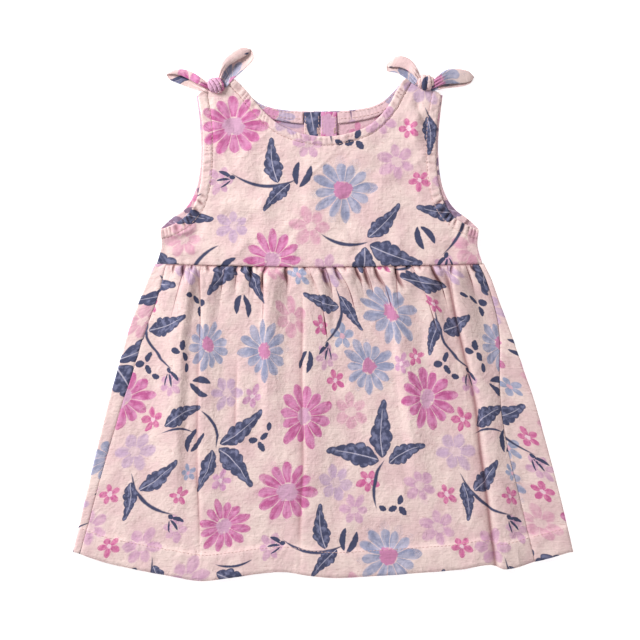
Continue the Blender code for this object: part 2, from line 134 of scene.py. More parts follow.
# %% Soft steps, curves and unevenness
def soft_step(t):
    """0 to 1 with soft ends."""
    t = np.clip(t, 0.0, 1.0)
    return t * t * (3.0 - 2.0 * t)


def column(table, name):
    """One column of a table, as an array."""
    return np.array([getattr(row, name) for row in table], dtype=float)


def curve(points, t):
    """Places on a smooth curve through points, where t counts the points from 0."""
    points = np.asarray(points, dtype=float)
    points = np.vstack([2 * points[0] - points[1], points, 2 * points[-1] - points[-2]])
    t = np.asarray(t, dtype=float)
    start = np.clip(np.floor(t).astype(int), 0, len(points) - 4)
    f = (t - start)[..., None]
    a, b, c, d = (points[start + k] for k in range(4))
    bend = (2 * a - 5 * b + 4 * c - d) * f**2 + (3 * b - a - 3 * c + d) * f**3
    return 0.5 * (2 * b + (c - a) * f + bend)


def arc_along(line):
    """How far along a line each of its places is."""
    return np.concatenate([[0.0], np.cumsum(np.hypot(*np.diff(line, axis=0).T))])


def read(table, key, name, at):
    """A smooth reading of a table's column where its key column is at."""
    keys = column(table, key)
    order = np.argsort(keys)
    row = np.interp(at, keys[order], np.arange(len(keys)))
    return curve(column(table, name)[order][:, None], row)[..., 0]


def uneven(x, y, spacing, seed):
    """Low bumps from -1 to 1, about spacing apart."""
    cells = 64
    heights = np.random.default_rng(seed).uniform(-1.0, 1.0, (cells, cells))
    heights = np.pad(heights, (0, 1), mode="wrap")
    i, j = np.broadcast_arrays(np.asarray(x) / spacing, np.asarray(y) / spacing)
    i0, j0 = np.floor(i).astype(int), np.floor(j).astype(int)
    fi, fj = soft_step(i - i0), soft_step(j - j0)
    i0, j0 = i0 % cells, j0 % cells
    near = heights[i0, j0] * (1 - fi) + heights[i0 + 1, j0] * fi
    far = heights[i0, j0 + 1] * (1 - fi) + heights[i0 + 1, j0 + 1] * fi
    return near * (1 - fj) + far * fj


print("half way up a soft step:", float(soft_step(0.5)))

# %% [markdown]
# ## The flower print
#
# A printed cotton repeats: the same flowers come back every so many centimetres. An image
# texture would be the usual way, but a print can also be drawn by the shader. Each flower
# or leaf is a small drawing in its own square, from -1 to 1 both ways. A repeat is laid
# out once, each motif where there is most room left, as a designer does by eye. Later
# every face of the cloth is told which motif it carries and where in that motif's square
# its corners lie, so the drawing stays sharp at any distance.

# %% Lay out one repeat of the print
REPEAT = (292.0, 316.0)
Kind = namedtuple("Kind", "name count size hues")
PRINT_KINDS = [
    Kind("branch", 4, (0.92, 1.04), (0,)),
    Kind("bud", 5, (0.90, 1.00), (0,)),
    Kind("daisy", 10, (23.0, 30.0), (0, 1, 0, 1)),
    Kind("single", 3, (0.86, 1.04), (0,)),
    Kind("wash", 18, (14.0, 20.0), (0, 2, 1)),
    Kind("cluster", 6, (0.95, 1.15), (0,)),
    Kind("pair", 7, (0.95, 1.15), (0,)),
    Kind("blossom", 17, (8.0, 12.0), (0, 0, 1, 0, 2)),
]
# A spray is made of shoots: where each starts, its turn and length, how wide it is for
# its length, and how far it bends.
Shoot = namedtuple("Shoot", "layer u v turn length width bend")
BRANCH = [
    Shoot("stem", -14.0, -32.0, 66.0, 39.0, 0.086, 0.26),
    Shoot("leaf", 0.0, 4.0, 158.0, 47.0, 0.47, -0.10),
    Shoot("leaf", 2.0, 5.0, 76.0, 46.0, 0.49, 0.10),
    Shoot("leaf", 7.0, 1.0, 10.0, 38.0, 0.45, 0.12),
]
BUD = [
    Shoot("stem", -12.0, -28.0, 68.0, 58.0, 0.058, -0.30),
    Shoot("leaf", -4.0, -11.0, 146.0, 40.0, 0.48, -0.10),
    Shoot("leaf", -9.0, -21.0, 18.0, 33.0, 0.46, 0.12),
    Shoot("mark", 7.5, 23.0, 70.0, 5.5, 0.72, 0.0),
    Shoot("mark", 9.0, 25.5, 92.0, 13.0, 0.28, 0.16),
    Shoot("mark", 10.5, 26.5, 58.0, 12.0, 0.20, 0.10),
    Shoot("mark", 11.5, 25.5, 28.0, 11.0, 0.15, -0.10),
    Shoot("wash", 10.0, 22.0, 62.0, 27.0, 1.0, 0.0),
]
SINGLE = [
    Shoot("leaf", -20.0, 3.0, 8.0, 42.0, 0.48, 0.12),
    Shoot("stem", -22.0, -3.0, -14.0, 33.0, 0.074, 0.22),
]
PAIR = [
    Shoot("mark", -6.0, -3.0, 52.0, 18.0, 0.29, 0.20),
    Shoot("mark", 4.0, -8.0, 76.0, 17.0, 0.29, -0.20),
]
CLUSTER = [
    Shoot("mark", -0.8, 0.2, 184.0, 8.4, 0.64, 0.0),
    Shoot("mark", 0.6, 1.0, 66.0, 8.0, 0.62, 0.1),
    Shoot("mark", 0.4, -1.2, 292.0, 7.4, 0.66, 0.0),
    Shoot("mark", 4.6, -9.0, 340.0, 6.8, 0.64, -0.1),
]
SHOOTS = {"branch": BRANCH, "bud": BUD, "single": SINGLE, "pair": PAIR, "cluster": CLUSTER}
# A motif's middle and size in the repeat, how it is turned and bent, and what hue it is.
Motif = namedtuple("Motif", "layer u v size turn width bend hue")
LAYOUT_TRIES = 160
LAYOUT_SEED = 41
FLOWER_ROOM = 0.92  # how much of its radius a flower keeps to itself
LEAF_ROOM, LEAF_SPARE = 0.8, 0.8  # the same of a leaf's width, and mm more
LEAF_PATCHES = (-0.7, -0.25, 0.2, 0.65)  # where its round patches lie along it


def place_shoot(shoot, u, v, size, turn, flip):
    """One leaf or stem of a spray, put into the repeat."""
    angle = math.radians(turn + flip * shoot.turn)
    swing = math.radians(turn)
    start_u, start_v = shoot.u * size, shoot.v * size * flip
    half = shoot.length * size / 2
    return Motif(
        shoot.layer,
        u + start_u * math.cos(swing) - start_v * math.sin(swing) + half * math.cos(angle),
        v + start_u * math.sin(swing) + start_v * math.cos(swing) + half * math.sin(angle),
        half, math.degrees(angle), shoot.width, shoot.bend * flip, 0,
    )


def put_motifs(kind, number, u, v, size, turn):
    """The motifs of one flower or spray, with its middle at u, v."""
    if kind.name not in SHOOTS:
        return [Motif(kind.name, u, v, size, turn, 1.0, 0.0, kind.hues[number % len(kind.hues)])]
    flip = 1.0 if number % 2 else -1.0
    return [place_shoot(shoot, u, v, size, turn, flip) for shoot in SHOOTS[kind.name]]


def patches_of(motifs):
    """Round patches that cover some motifs: the middle and radius of each."""
    patches = []
    for motif in motifs:
        if motif.width == 1.0:
            patches.append((motif.u, motif.v, motif.size * FLOWER_ROOM))
            continue
        angle = math.radians(motif.turn)
        radius = motif.size * motif.width * LEAF_ROOM + LEAF_SPARE
        for share in LEAF_PATCHES:
            out = share * motif.size
            patches.append((motif.u + out * math.cos(angle), motif.v + out * math.sin(angle),
                            radius))
    return np.array(patches)


def lay_out_print():
    """The motifs of one repeat: each goes where the others leave it most room."""
    dice = np.random.default_rng(LAYOUT_SEED)
    taken, motifs = np.zeros((0, 3)), []
    repeat = np.array(REPEAT)
    for kind in PRINT_KINDS:
        for number in range(kind.count):
            size = dice.uniform(*kind.size)
            most = -math.inf
            for u, v, turn in dice.uniform((0.0, 0.0, 0.0), (*REPEAT, 360.0), (LAYOUT_TRIES, 3)):
                made = put_motifs(kind, number, u, v, size, turn)
                own = patches_of(made)
                apart = own[:, None, :2] - taken[None, :, :2]
                apart = (apart + repeat / 2) % repeat - repeat / 2
                free = np.hypot(apart[..., 0], apart[..., 1]) - own[:, None, 2] - taken[:, 2]
                free = free.min() if len(taken) else 0.0
                if free > most:
                    most, best, best_patches = free, made, own
            taken = np.concatenate([taken, best_patches])
            motifs += best
    return motifs


MOTIFS = lay_out_print()
print("motifs in a repeat:", len(MOTIFS))

# %% [markdown]
# Each layer of the print gets an attribute on the corners of the faces. Its first two
# numbers are the place inside the motif's square, and the third is the motif's hue and
# its own chance value. Corners belong to one face only, so two neighbouring faces can
# carry different motifs with no smear between them.

# %% Tell each face which motifs it carries
PRINT_LAYERS = ("wash", "blossom", "stem", "mark", "leaf", "daisy")
MARGIN = 3.2  # how far past its drawing a motif's faces go
FARTHEST = 1.15  # a face farther out, for the motif's size and margin, goes without it
NOWHERE = 9.0  # a place in no motif's square
CHANCE_STEP = 0.618  # spreads the motifs' chance values evenly


def motif_squares(motif, cut):
    """Where places on the flat cut cloth lie in a motif's square."""
    repeat = np.array(REPEAT)
    middle = cut.mean(axis=1, keepdims=True) - (motif.u, motif.v)
    shift = np.round(middle / repeat) * repeat
    apart = (cut - (motif.u, motif.v) - shift) / motif.size
    c, s = math.cos(math.radians(motif.turn)), math.sin(math.radians(motif.turn))
    u = apart[..., 0] * c + apart[..., 1] * s
    v = apart[..., 1] * c - apart[..., 0] * s
    return u, (v + motif.bend * (u * u - 0.5)) / motif.width


def print_on(mesh, cut):
    """Writes the flat cut and the print's layers onto a mesh of four-sided faces. cut is
    where each vertex lies on the flat cloth."""
    corners = np.empty(len(mesh.loops), dtype=np.int32)
    mesh.loops.foreach_get("vertex_index", corners)
    for unused in list(mesh.uv_layers):
        mesh.uv_layers.remove(unused)
    flat = mesh.uv_layers.new(name="cut")
    flat.uv.foreach_set("vector", (cut[corners] * MM).astype(np.float32).ravel())
    corners = cut[corners].reshape(-1, 4, 2)
    for layer in PRINT_LAYERS:
        best = np.full(len(corners), FARTHEST)
        drawn = np.full((len(corners), 4, 3), NOWHERE)
        for number, motif in enumerate(m for m in MOTIFS if m.layer == layer):
            u, v = motif_squares(motif, corners)
            reach = np.hypot(u.mean(axis=1) / (1.0 + MARGIN / motif.size),
                             v.mean(axis=1) / (1.0 + MARGIN / (motif.size * motif.width)))
            nearer = reach < best
            best[nearer] = reach[nearer]
            drawn[nearer, :, 0], drawn[nearer, :, 1] = u[nearer], v[nearer]
            drawn[nearer, :, 2] = motif.hue + 0.1 + 0.8 * ((number * CHANCE_STEP) % 1.0)
        made = mesh.attributes.new(layer, "FLOAT_VECTOR", "CORNER")
        made.data.foreach_set("vector", drawn.astype(np.float32).ravel())


print("print layers:", ", ".join(PRINT_LAYERS))

# %% [markdown]
# ## Drawing with a shader
#
# A motif is a formula: a petal is wherever a place is nearer to the petal's middle line
# than the petal is wide. Written as nodes such a formula is hard to read, so a wire
# stands for a number on its way through the tree, and adding or multiplying two wires
# puts in the node that does it.


# %% A wire through a node tree
class Wire:
    """A number in a node tree, with ordinary arithmetic."""

    def __init__(self, tree, socket):
        self.tree, self.socket = tree, socket

    def to(self, operation, *others):
        """A Math node of this wire and others."""
        node = self.tree.nodes.new("ShaderNodeMath")
        node.operation = operation
        for place, value in zip(node.inputs, (self, *others)):
            join(self.tree, place, value)
        return Wire(self.tree, node.outputs[0])

    def soft(self, low, high):
        """0 below low to 1 above high, with soft ends."""
        node = self.tree.nodes.new("ShaderNodeMapRange")
        node.interpolation_type = "SMOOTHSTEP"
        for place, value in zip(node.inputs, (self, low, high)):
            join(self.tree, place, value)
        return Wire(self.tree, node.outputs[0])

    def __add__(self, other):
        return self.to("ADD", other)

    def __sub__(self, other):
        return self.to("SUBTRACT", other)

    def __mul__(self, other):
        return self.to("MULTIPLY", other)

    def __truediv__(self, other):
        return self.to("DIVIDE", other)


def join(tree, place, value):
    """Feeds a socket from a wire, or sets it to a plain value."""
    if isinstance(value, Wire):
        tree.links.new(value.socket, place)
    else:
        place.default_value = value


def as_vector(tree, x, y, z=0.0):
    """Three numbers as one vector."""
    node = tree.nodes.new("ShaderNodeCombineXYZ")
    for place, value in zip(node.inputs, (x, y, z)):
        join(tree, place, value)
    return Wire(tree, node.outputs[0])


def cloudy(tree, place, scale, detail=2.0):
    """Noise from 0 to 1 at a vector."""
    node = tree.nodes.new("ShaderNodeTexNoise")
    join(tree, node.inputs["Vector"], place)
    node.inputs["Scale"].default_value = scale
    node.inputs["Detail"].default_value = detail
    return Wire(tree, node.outputs["Factor"] if "Factor" in node.outputs else node.outputs[0])


def parts_of(tree, vector):
    """A vector's three numbers."""
    node = tree.nodes.new("ShaderNodeSeparateXYZ")
    join(tree, node.inputs[0], vector)
    return [Wire(tree, output) for output in node.outputs]


def chances(tree, number, seed):
    """Three chance values for a petal's number, always the same for the same petal."""
    node = tree.nodes.new("ShaderNodeTexWhiteNoise")
    node.noise_dimensions = "2D"
    join(tree, node.inputs["Vector"], as_vector(tree, number, seed))
    split = tree.nodes.new("ShaderNodeSeparateColor")
    tree.links.new(node.outputs["Color"], split.inputs[0])
    return [Wire(tree, output) for output in split.outputs[:3]]


def mixed(tree, share, first, second, blend="MIX"):
    """first where share is 0 and second where it is 1, as colours."""
    node = tree.nodes.new("ShaderNodeMix")
    node.data_type = "RGBA"
    node.blend_type = blend
    node.clamp_factor = True
    for name, value in (("Factor", share), ("A", first), ("B", second)):
        place = next(s for s in node.inputs if s.name == name and s.type in ("VALUE", "RGBA")
                     and s.enabled)
        join(tree, place, value)
    return Wire(tree, next(s for s in node.outputs if s.enabled))


def paint(red, green, blue):
    """A colour as a shader wants it, from the 0 to 255 that a paint chart gives."""
    parts = [c / 255 for c in (red, green, blue)]
    return (*[c / 12.92 if c < 0.04045 else ((c + 0.055) / 1.055) ** 2.4 for c in parts], 1.0)


print("white is", paint(255, 255, 255))

# %% [markdown]
# ### Petals, leaves and stems
#
# A daisy and a five-petalled blossom are the same drawing with other numbers: a petal
# starts a little way out and is a long oval, widest past its middle. Each petal has its
# own length, width and lean, so that no flower looks stamped. The paint pools and thins
# like watercolour, which is noise mixed between a deep and a light tone. A leaf is a long
# body with lobes that bulge along its rim, and a stem is one brush stroke.

# %% The flower formula
Flower = namedtuple("Flower", "petals start width spread softness heart")
DAISY = Flower(12, 0.23, 0.186, 0.28, 0.040, 0.23)
BLOSSOM = Flower(5, 0.10, 0.33, 0.26, 0.08, 0.17)
WASH = Flower(6, 0.06, 0.33, 0.30, 0.12, 0.20)
PETAL_WAVER, TURN_WAVER, HEART_WAVER = 0.10, 0.16, 0.46  # how unsteady the brush is
PETAL_LEAN, PETAL_THINNING = 0.14, 0.26  # how far petals differ
PETAL_WIDEST, PETAL_FOOT = 0.62, 0.66  # where a petal is widest, and its oval below
HEART_OVER = 0.04  # how far the heart is painted over the petals
SEED_STEP = 37.0  # turns a motif's chance value into a place in the noise


def motif_place(tree, layer):
    """u, v, hue and chance of a print layer."""
    source = tree.nodes.new("ShaderNodeAttribute")
    source.attribute_name = layer
    u, v, both = parts_of(tree, Wire(tree, source.outputs["Vector"]))
    return u, v, both.to("FLOOR"), both.to("FRACT")


def flower(tree, layer, shape):
    """Where a layer's flowers have petals and hearts, and the paint's clouds."""
    u, v, hue, chance = motif_place(tree, layer)
    seed = chance * SEED_STEP
    waver = cloudy(tree, as_vector(tree, u, v, seed), 4.5, 3.0) - 0.5
    radius = (u * u + v * v).to("SQRT") + waver * PETAL_WAVER
    turn = v.to("ARCTAN2", u) * (shape.petals / math.tau) + chance * 5.0 + waver * TURN_WAVER
    number = turn.to("FLOOR").to("FLOORED_MODULO", float(shape.petals))
    lean, short, thin = chances(tree, number, seed)
    share = turn.to("FRACT") - 0.5
    parted = (share.to("ABSOLUTE") * -1.0 + 0.5).soft(0.005, 0.055)
    across = (share + (lean - 0.5) * PETAL_LEAN) * radius * (math.tau / shape.petals)
    length = short * -shape.spread + 1.0
    along = (radius - shape.start) / (length - shape.start)
    foot = ((along - PETAL_WIDEST) / -PETAL_FOOT).to("MAXIMUM", 0.0)
    tip = ((along - PETAL_WIDEST) / (1.0 - PETAL_WIDEST)).to("MAXIMUM", 0.0)
    oval = ((foot * foot + tip * tip) * -1.0 + 1.0).to("MAXIMUM", 0.0).to("SQRT")
    half = oval * (thin * -PETAL_THINNING + 1.0) * shape.width
    petal = (half - across.to("ABSOLUTE")).soft(-shape.softness * 0.3, shape.softness)
    petal = petal * along.soft(0.0, 0.04) * parted
    fringe = share.to("ABSOLUTE") * -0.07 + waver * HEART_WAVER
    heart = (fringe + shape.heart + HEART_OVER - radius).soft(-0.02, 0.04)
    streaks = as_vector(tree, radius * 1.6, turn * 1.3, seed + 3.0)
    clouds = cloudy(tree, streaks, 1.7, 4.0)
    rubbed = cloudy(tree, as_vector(tree, u, v, seed + 9.0), 11.0, 3.0).soft(0.60, 0.74)
    tone = clouds.soft(0.36, 0.64) * 0.85 + short * 0.25 + rubbed * 0.5
    return petal, heart, tone, hue


LOBE_RATE, LOBE_DEPTH = 8.6, 0.24  # how close a leaf's lobes are, and how deep
LEAF_BASE = 0.62  # how much of half a leaf it takes to reach its width
BLUNT_FROM = 0.84  # where its tip starts to round off
LEAF_TAPER = 0.70  # how much narrower it gets towards the tip


def leaf(tree):
    """Where leaves are, their middle vein, and the paint's clouds."""
    u, v, _, chance = motif_place(tree, "leaf")
    seed = chance * SEED_STEP
    side = v.to("SIGN")
    drift = cloudy(tree, as_vector(tree, u, side * 4.0, seed), 1.3) * 3.0
    lobes = (u * LOBE_RATE + side * 0.8 + drift).to("SINE").to("ABSOLUTE").to("POWER", 0.55)
    base = ((u + 1.0) / LEAF_BASE).to("MINIMUM", 1.0).to("MAXIMUM", 0.0).to("POWER", 0.62)
    tip = ((u - BLUNT_FROM) / (1.0 - BLUNT_FROM)).to("MAXIMUM", 0.0)
    blunt = (tip * tip * -1.0 + 1.0).to("MAXIMUM", 0.0).to("SQRT")
    taper = u.soft(-0.55, 1.0) * -LEAF_TAPER + 0.96
    body = base * blunt * taper * (lobes * LOBE_DEPTH + 0.78)
    depth = body - v.to("ABSOLUTE")
    inside = depth.soft(-0.02, 0.06)
    rim = depth.soft(0.0, 0.22)
    vein = (u * -0.016 + 0.050 - (v + u * u * 0.10 - 0.03).to("ABSOLUTE")).soft(0.0, 0.045)
    vein = vein * u.soft(-0.97, -0.90) * u.soft(0.70, 0.56)
    clouds = cloudy(tree, as_vector(tree, u * 1.9, v, seed), 2.6, 4.0).soft(0.42, 0.64)
    return inside, vein, clouds * rim


def stroke(tree, layer, softness):
    """Where brush strokes are, which swell and thin."""
    u, v, _, chance = motif_place(tree, layer)
    swell = cloudy(tree, as_vector(tree, u, chance * SEED_STEP), 3.0)
    body = (u * u * -1.0 + 1.0).to("MAXIMUM", 0.0).to("POWER", 0.6) * (swell * 0.7 + 0.68)
    return (body - v.to("ABSOLUTE")).soft(-softness * 0.4, softness)


print("a daisy has", DAISY.petals, "petals")

# %% The painted cloth as one node group
GROUND = (paint(245, 221, 215), paint(234, 202, 202))
FLECK = paint(206, 168, 164)
FLECK_GRAIN = (190.0, 760.0)  # how fine the flecks are across and along, for each metre
NAVY = (paint(74, 78, 108), paint(126, 128, 160))
NAVY_LINE = paint(72, 76, 106)
VEIN = paint(196, 190, 208)
# deep and light paint of each hue, then its heart
DAISY_PAINTS = [
    (paint(194, 86, 148), paint(224, 148, 192), paint(214, 166, 196)),
    (paint(140, 148, 180), paint(188, 186, 208), paint(206, 134, 176)),
]
BLOSSOM_PAINTS = [
    (paint(204, 96, 152), paint(226, 142, 178), paint(244, 212, 222)),
    (paint(150, 160, 190), paint(184, 184, 208), paint(230, 184, 200)),
    (paint(210, 150, 190), paint(228, 182, 208), paint(246, 220, 226)),
]
WASH_PAINTS = [
    (paint(208, 160, 192), paint(225, 184, 203), paint(234, 204, 207)),
    (paint(220, 160, 183), paint(231, 186, 197), paint(238, 208, 207)),
    (paint(200, 170, 200), paint(217, 188, 207), paint(232, 204, 209)),
]


def cut_place(tree):
    """A place on the flat cut cloth, as a vector."""
    flat = tree.nodes.new("ShaderNodeUVMap")
    flat.uv_map = "cut"
    return Wire(tree, flat.outputs[0])


def painted(tree, base, petal, heart, tone, hue, paints, strength):
    """base with a layer of flowers painted over it."""
    petals, hearts = paints[0][:2], paints[0][2]
    colour = mixed(tree, tone, *petals)
    middle = hearts
    for number, (deep, light, dot) in enumerate(paints[1:], start=1):
        this = hue.to("COMPARE", float(number), 0.5)
        colour = mixed(tree, this, colour, mixed(tree, tone, deep, light))
        middle = mixed(tree, this, middle, dot)
    base = mixed(tree, petal * strength, base, colour)
    return mixed(tree, heart * strength, base, middle)


def paint_print():
    """The node group that paints the print."""
    tree = bpy.data.node_groups.new("flower print", "ShaderNodeTree")
    tree.interface.new_socket("Colour", in_out="OUTPUT", socket_type="NodeSocketColor")
    flat = cut_place(tree)
    clouds = cloudy(tree, flat, 46.0, 5.0).soft(0.34, 0.66)
    colour = mixed(tree, clouds, *GROUND)
    across, along, _ = parts_of(tree, flat)
    grain = as_vector(tree, across * FLECK_GRAIN[0], along * FLECK_GRAIN[1])
    flecks = cloudy(tree, grain, 1.0, 2.0).soft(0.60, 0.74)
    colour = mixed(tree, flecks * 0.60, colour, FLECK)
    colour = painted(tree, colour, *flower(tree, "wash", WASH), WASH_PAINTS, 0.95)
    colour = painted(tree, colour, *flower(tree, "blossom", BLOSSOM), BLOSSOM_PAINTS, 1.0)
    colour = mixed(tree, stroke(tree, "stem", 0.5), colour, NAVY_LINE)
    colour = mixed(tree, stroke(tree, "mark", 0.2), colour, NAVY_LINE)
    inside, vein, pools = leaf(tree)
    colour = mixed(tree, inside, colour, mixed(tree, pools, *NAVY))
    colour = mixed(tree, vein * inside, colour, VEIN)
    colour = painted(tree, colour, *flower(tree, "daisy", DAISY), DAISY_PAINTS, 0.97)
    result = tree.nodes.new("NodeGroupOutput")
    tree.links.new(colour.socket, result.inputs[0])
    return tree


PRINT = paint_print()
print("nodes in the print:", len(PRINT.nodes))

# %% [markdown]
# ### Cotton
#
# The cloth is a light plain weave with thicker threads here and there, so it looks faintly
# streaked across. Threads are far finer than a fold, so they are bump, not shape. The
# print goes only partly through: the wrong side is paler and pinker. In hollows light
# bounces from cloth to cloth, and shade is painted there: hollows, seams and openings are
# painted darker and warmer, and ridges get a little painted highlight.


# %% Cotton materials
# painted shade: the colours that hollows, and openings such as under a tie's flap, are darkened
# with
HOLLOW_SHADE_PAINT = paint(150, 112, 120)
OPENING_SHADE_PAINT = paint(108, 72, 92)
SLUB_GRAIN = (120.0, 900.0)  # how fine the thicker threads are across and along
WARP_PITCH, WEFT_PITCH = 0.0011, 0.0009  # in metres
CRINKLE_GRAIN = 150.0


def new_material(name):
    """A material, its node tree and its shader."""
    made = bpy.data.materials.new(name)
    made.use_nodes = True
    return made, made.node_tree, made.node_tree.nodes["Principled BSDF"]


def cotton(name, fade, tint):
    """The printed cotton: fade is how far its print is washed over with tint."""
    made, tree, shader = new_material(name)
    group = tree.nodes.new("ShaderNodeGroup")
    group.node_tree = PRINT
    flat = cut_place(tree)
    across, along, _ = parts_of(tree, flat)
    grain = as_vector(tree, across * SLUB_GRAIN[0], along * SLUB_GRAIN[1])
    slubs = cloudy(tree, grain, 1.0, 3.0)
    warp = (across * (math.tau / WARP_PITCH)).to("SINE")
    weft = (along * (math.tau / WEFT_PITCH) + slubs * 9.0).to("SINE")
    colour = mixed(tree, fade, Wire(tree, group.outputs[0]), tint)
    depth = tree.nodes.new("ShaderNodeAttribute")
    depth.attribute_name = "hollow"
    hollow = Wire(tree, depth.outputs["Fac"])
    # painted shade from the hollow attribute: hollows darker and warmer, openings darker still
    colour = mixed(tree, hollow.soft(0.02, 0.34) * 0.85, colour, HOLLOW_SHADE_PAINT, "MULTIPLY")
    colour = mixed(tree, hollow.soft(0.40, 0.80), colour, OPENING_SHADE_PAINT, "MULTIPLY")
    # painted highlight: ridges, where hollow is below 0, are painted a little paler; the slub
    # streaks are the cloth's own
    softening_and_highlight = (hollow * -1.0).soft(0.02, 0.30) * 0.05
    slub_streaks_and_highlight = slubs.soft(0.25, 0.75) * 0.10 + 0.940 + softening_and_highlight
    bright = tree.nodes.new("ShaderNodeHueSaturation")
    tree.links.new(colour.socket, bright.inputs["Color"])
    join(tree, bright.inputs["Value"], slub_streaks_and_highlight)
    tree.links.new(bright.outputs[0], shader.inputs["Base Color"])
    crinkle = (cloudy(tree, flat, CRINKLE_GRAIN, 3.0) - 0.5).to("ABSOLUTE")
    bump = tree.nodes.new("ShaderNodeBump")
    bump.inputs["Strength"].default_value = 1.0
    bump.inputs["Distance"].default_value = MM
    relief = crinkle * -1.3 + slubs * 0.18 + (warp + weft) * 0.015
    join(tree, bump.inputs["Height"], relief)
    tree.links.new(bump.outputs[0], shader.inputs["Normal"])
    shader.inputs["Roughness"].default_value = 0.88
    shader.inputs["Sheen Weight"].default_value = 0.12
    shader.inputs["Sheen Roughness"].default_value = 0.5
    shader.inputs["Specular IOR Level"].default_value = 0.25
    return made


PRINTED = cotton("printed cotton", 0.0, paint(255, 255, 255))
WRONG_SIDE = cotton("wrong side of the cotton", 0.46, paint(214, 160, 186))
FACING = cotton("faded facing cotton", 0.30, paint(226, 172, 196))


def plain(name, colour, roughness):
    """A material of one colour with a fine mottling."""
    made, tree, shader = new_material(name)
    where = tree.nodes.new("ShaderNodeTexCoord")
    clouds = cloudy(tree, Wire(tree, where.outputs["Object"]), 900.0, 2.0)
    darker = (*[c * 0.82 for c in colour[:3]], 1.0)
    tree.links.new(mixed(tree, clouds, darker, colour).socket, shader.inputs["Base Color"])
    shader.inputs["Roughness"].default_value = roughness
    return made


BOTH_SIDES = [PRINTED, WRONG_SIDE]
THREAD = plain("sewing thread", paint(226, 190, 184), 0.8)
SNAP = plain("snap cap", paint(238, 226, 222), 0.45)
print("materials:", PRINTED.name, "/", WRONG_SIDE.name, "/", THREAD.name, "/", SNAP.name)

# %% [markdown]
# ## From a surface to a piece of cloth
#
# A panel begins as a grid of places on its right side. Two faces share a corner where the
# grids share a place. The wrong side is the same grid moved inwards by the cloth's
# thickness, and a narrow rounded strip closes the cut edge all round, so the piece is a
# closed thin shell, as the construction solids are.


# %% Grids and shells
def grid_faces(ids, turned=False):
    """Four-sided faces over a grid of vertex numbers."""
    quads = np.stack([ids[:-1, :-1], ids[:-1, 1:], ids[1:, 1:], ids[1:, :-1]], axis=-1)
    quads = quads.reshape(-1, 4)
    return quads[:, ::-1] if turned else quads


def vertex_normals(places, faces):
    """The direction that the surface faces at each vertex."""
    corner = places[faces]
    facing = np.cross(corner[:, 2] - corner[:, 0], corner[:, 3] - corner[:, 1])
    normals = np.zeros_like(places)
    for k in range(4):
        np.add.at(normals, faces[:, k], facing)
    return normals / np.maximum(np.linalg.norm(normals, axis=1, keepdims=True), 1e-12)


def open_edges(faces):
    """The edges that only one face has, in that face's direction."""
    edges = np.concatenate([np.stack([faces[:, k], faces[:, (k + 1) % 4]], 1) for k in range(4)])
    forward = edges[:, 0].astype(np.int64) << 32 | edges[:, 1]
    backward = edges[:, 1].astype(np.int64) << 32 | edges[:, 0]
    return edges[~np.isin(forward, backward)]


SMOOTHING = 0.4  # how much a hollow takes from those around it
EDGE_ROUND = 0.35  # how far a cut edge bulges, for the cloth's thickness


def hollows(places, faces, normals):
    """How sharply the surface is hollowed at each vertex, in 1/mm; ridges are negative."""
    edges = np.concatenate([faces[:, [k, (k + 1) % 4]] for k in range(4)])
    near, far = edges.T
    count = np.maximum(np.bincount(near, minlength=len(places)), 1)
    step = places[far] - places[near]
    rise = (step * normals[near]).sum(axis=1) / np.maximum((step**2).sum(axis=1), 1e-6)
    hollow = np.bincount(near, rise, len(places)) / count
    around = np.bincount(near, hollow[far], len(places)) / count
    return (1.0 - SMOOTHING) * hollow + SMOOTHING * around


def note_hollows(mesh, hollow):
    """Writes hollows onto a mesh, for its material to paint as shade."""
    made = mesh.attributes.new("hollow", "FLOAT", "POINT")
    made.data.foreach_set("value", hollow.astype(np.float32))


def note_cut(cut, faces):
    """Measures the flat cloth that a piece takes."""
    corner = cut[faces]
    first, second = corner[:, 2] - corner[:, 0], corner[:, 3] - corner[:, 1]
    area = np.abs(first[:, 0] * second[:, 1] - first[:, 1] * second[:, 0]).sum() / 2
    width, length = np.ptp(cut[np.unique(faces)], axis=0) * MM
    area = min(float(area) * MM * MM, float(width * length))


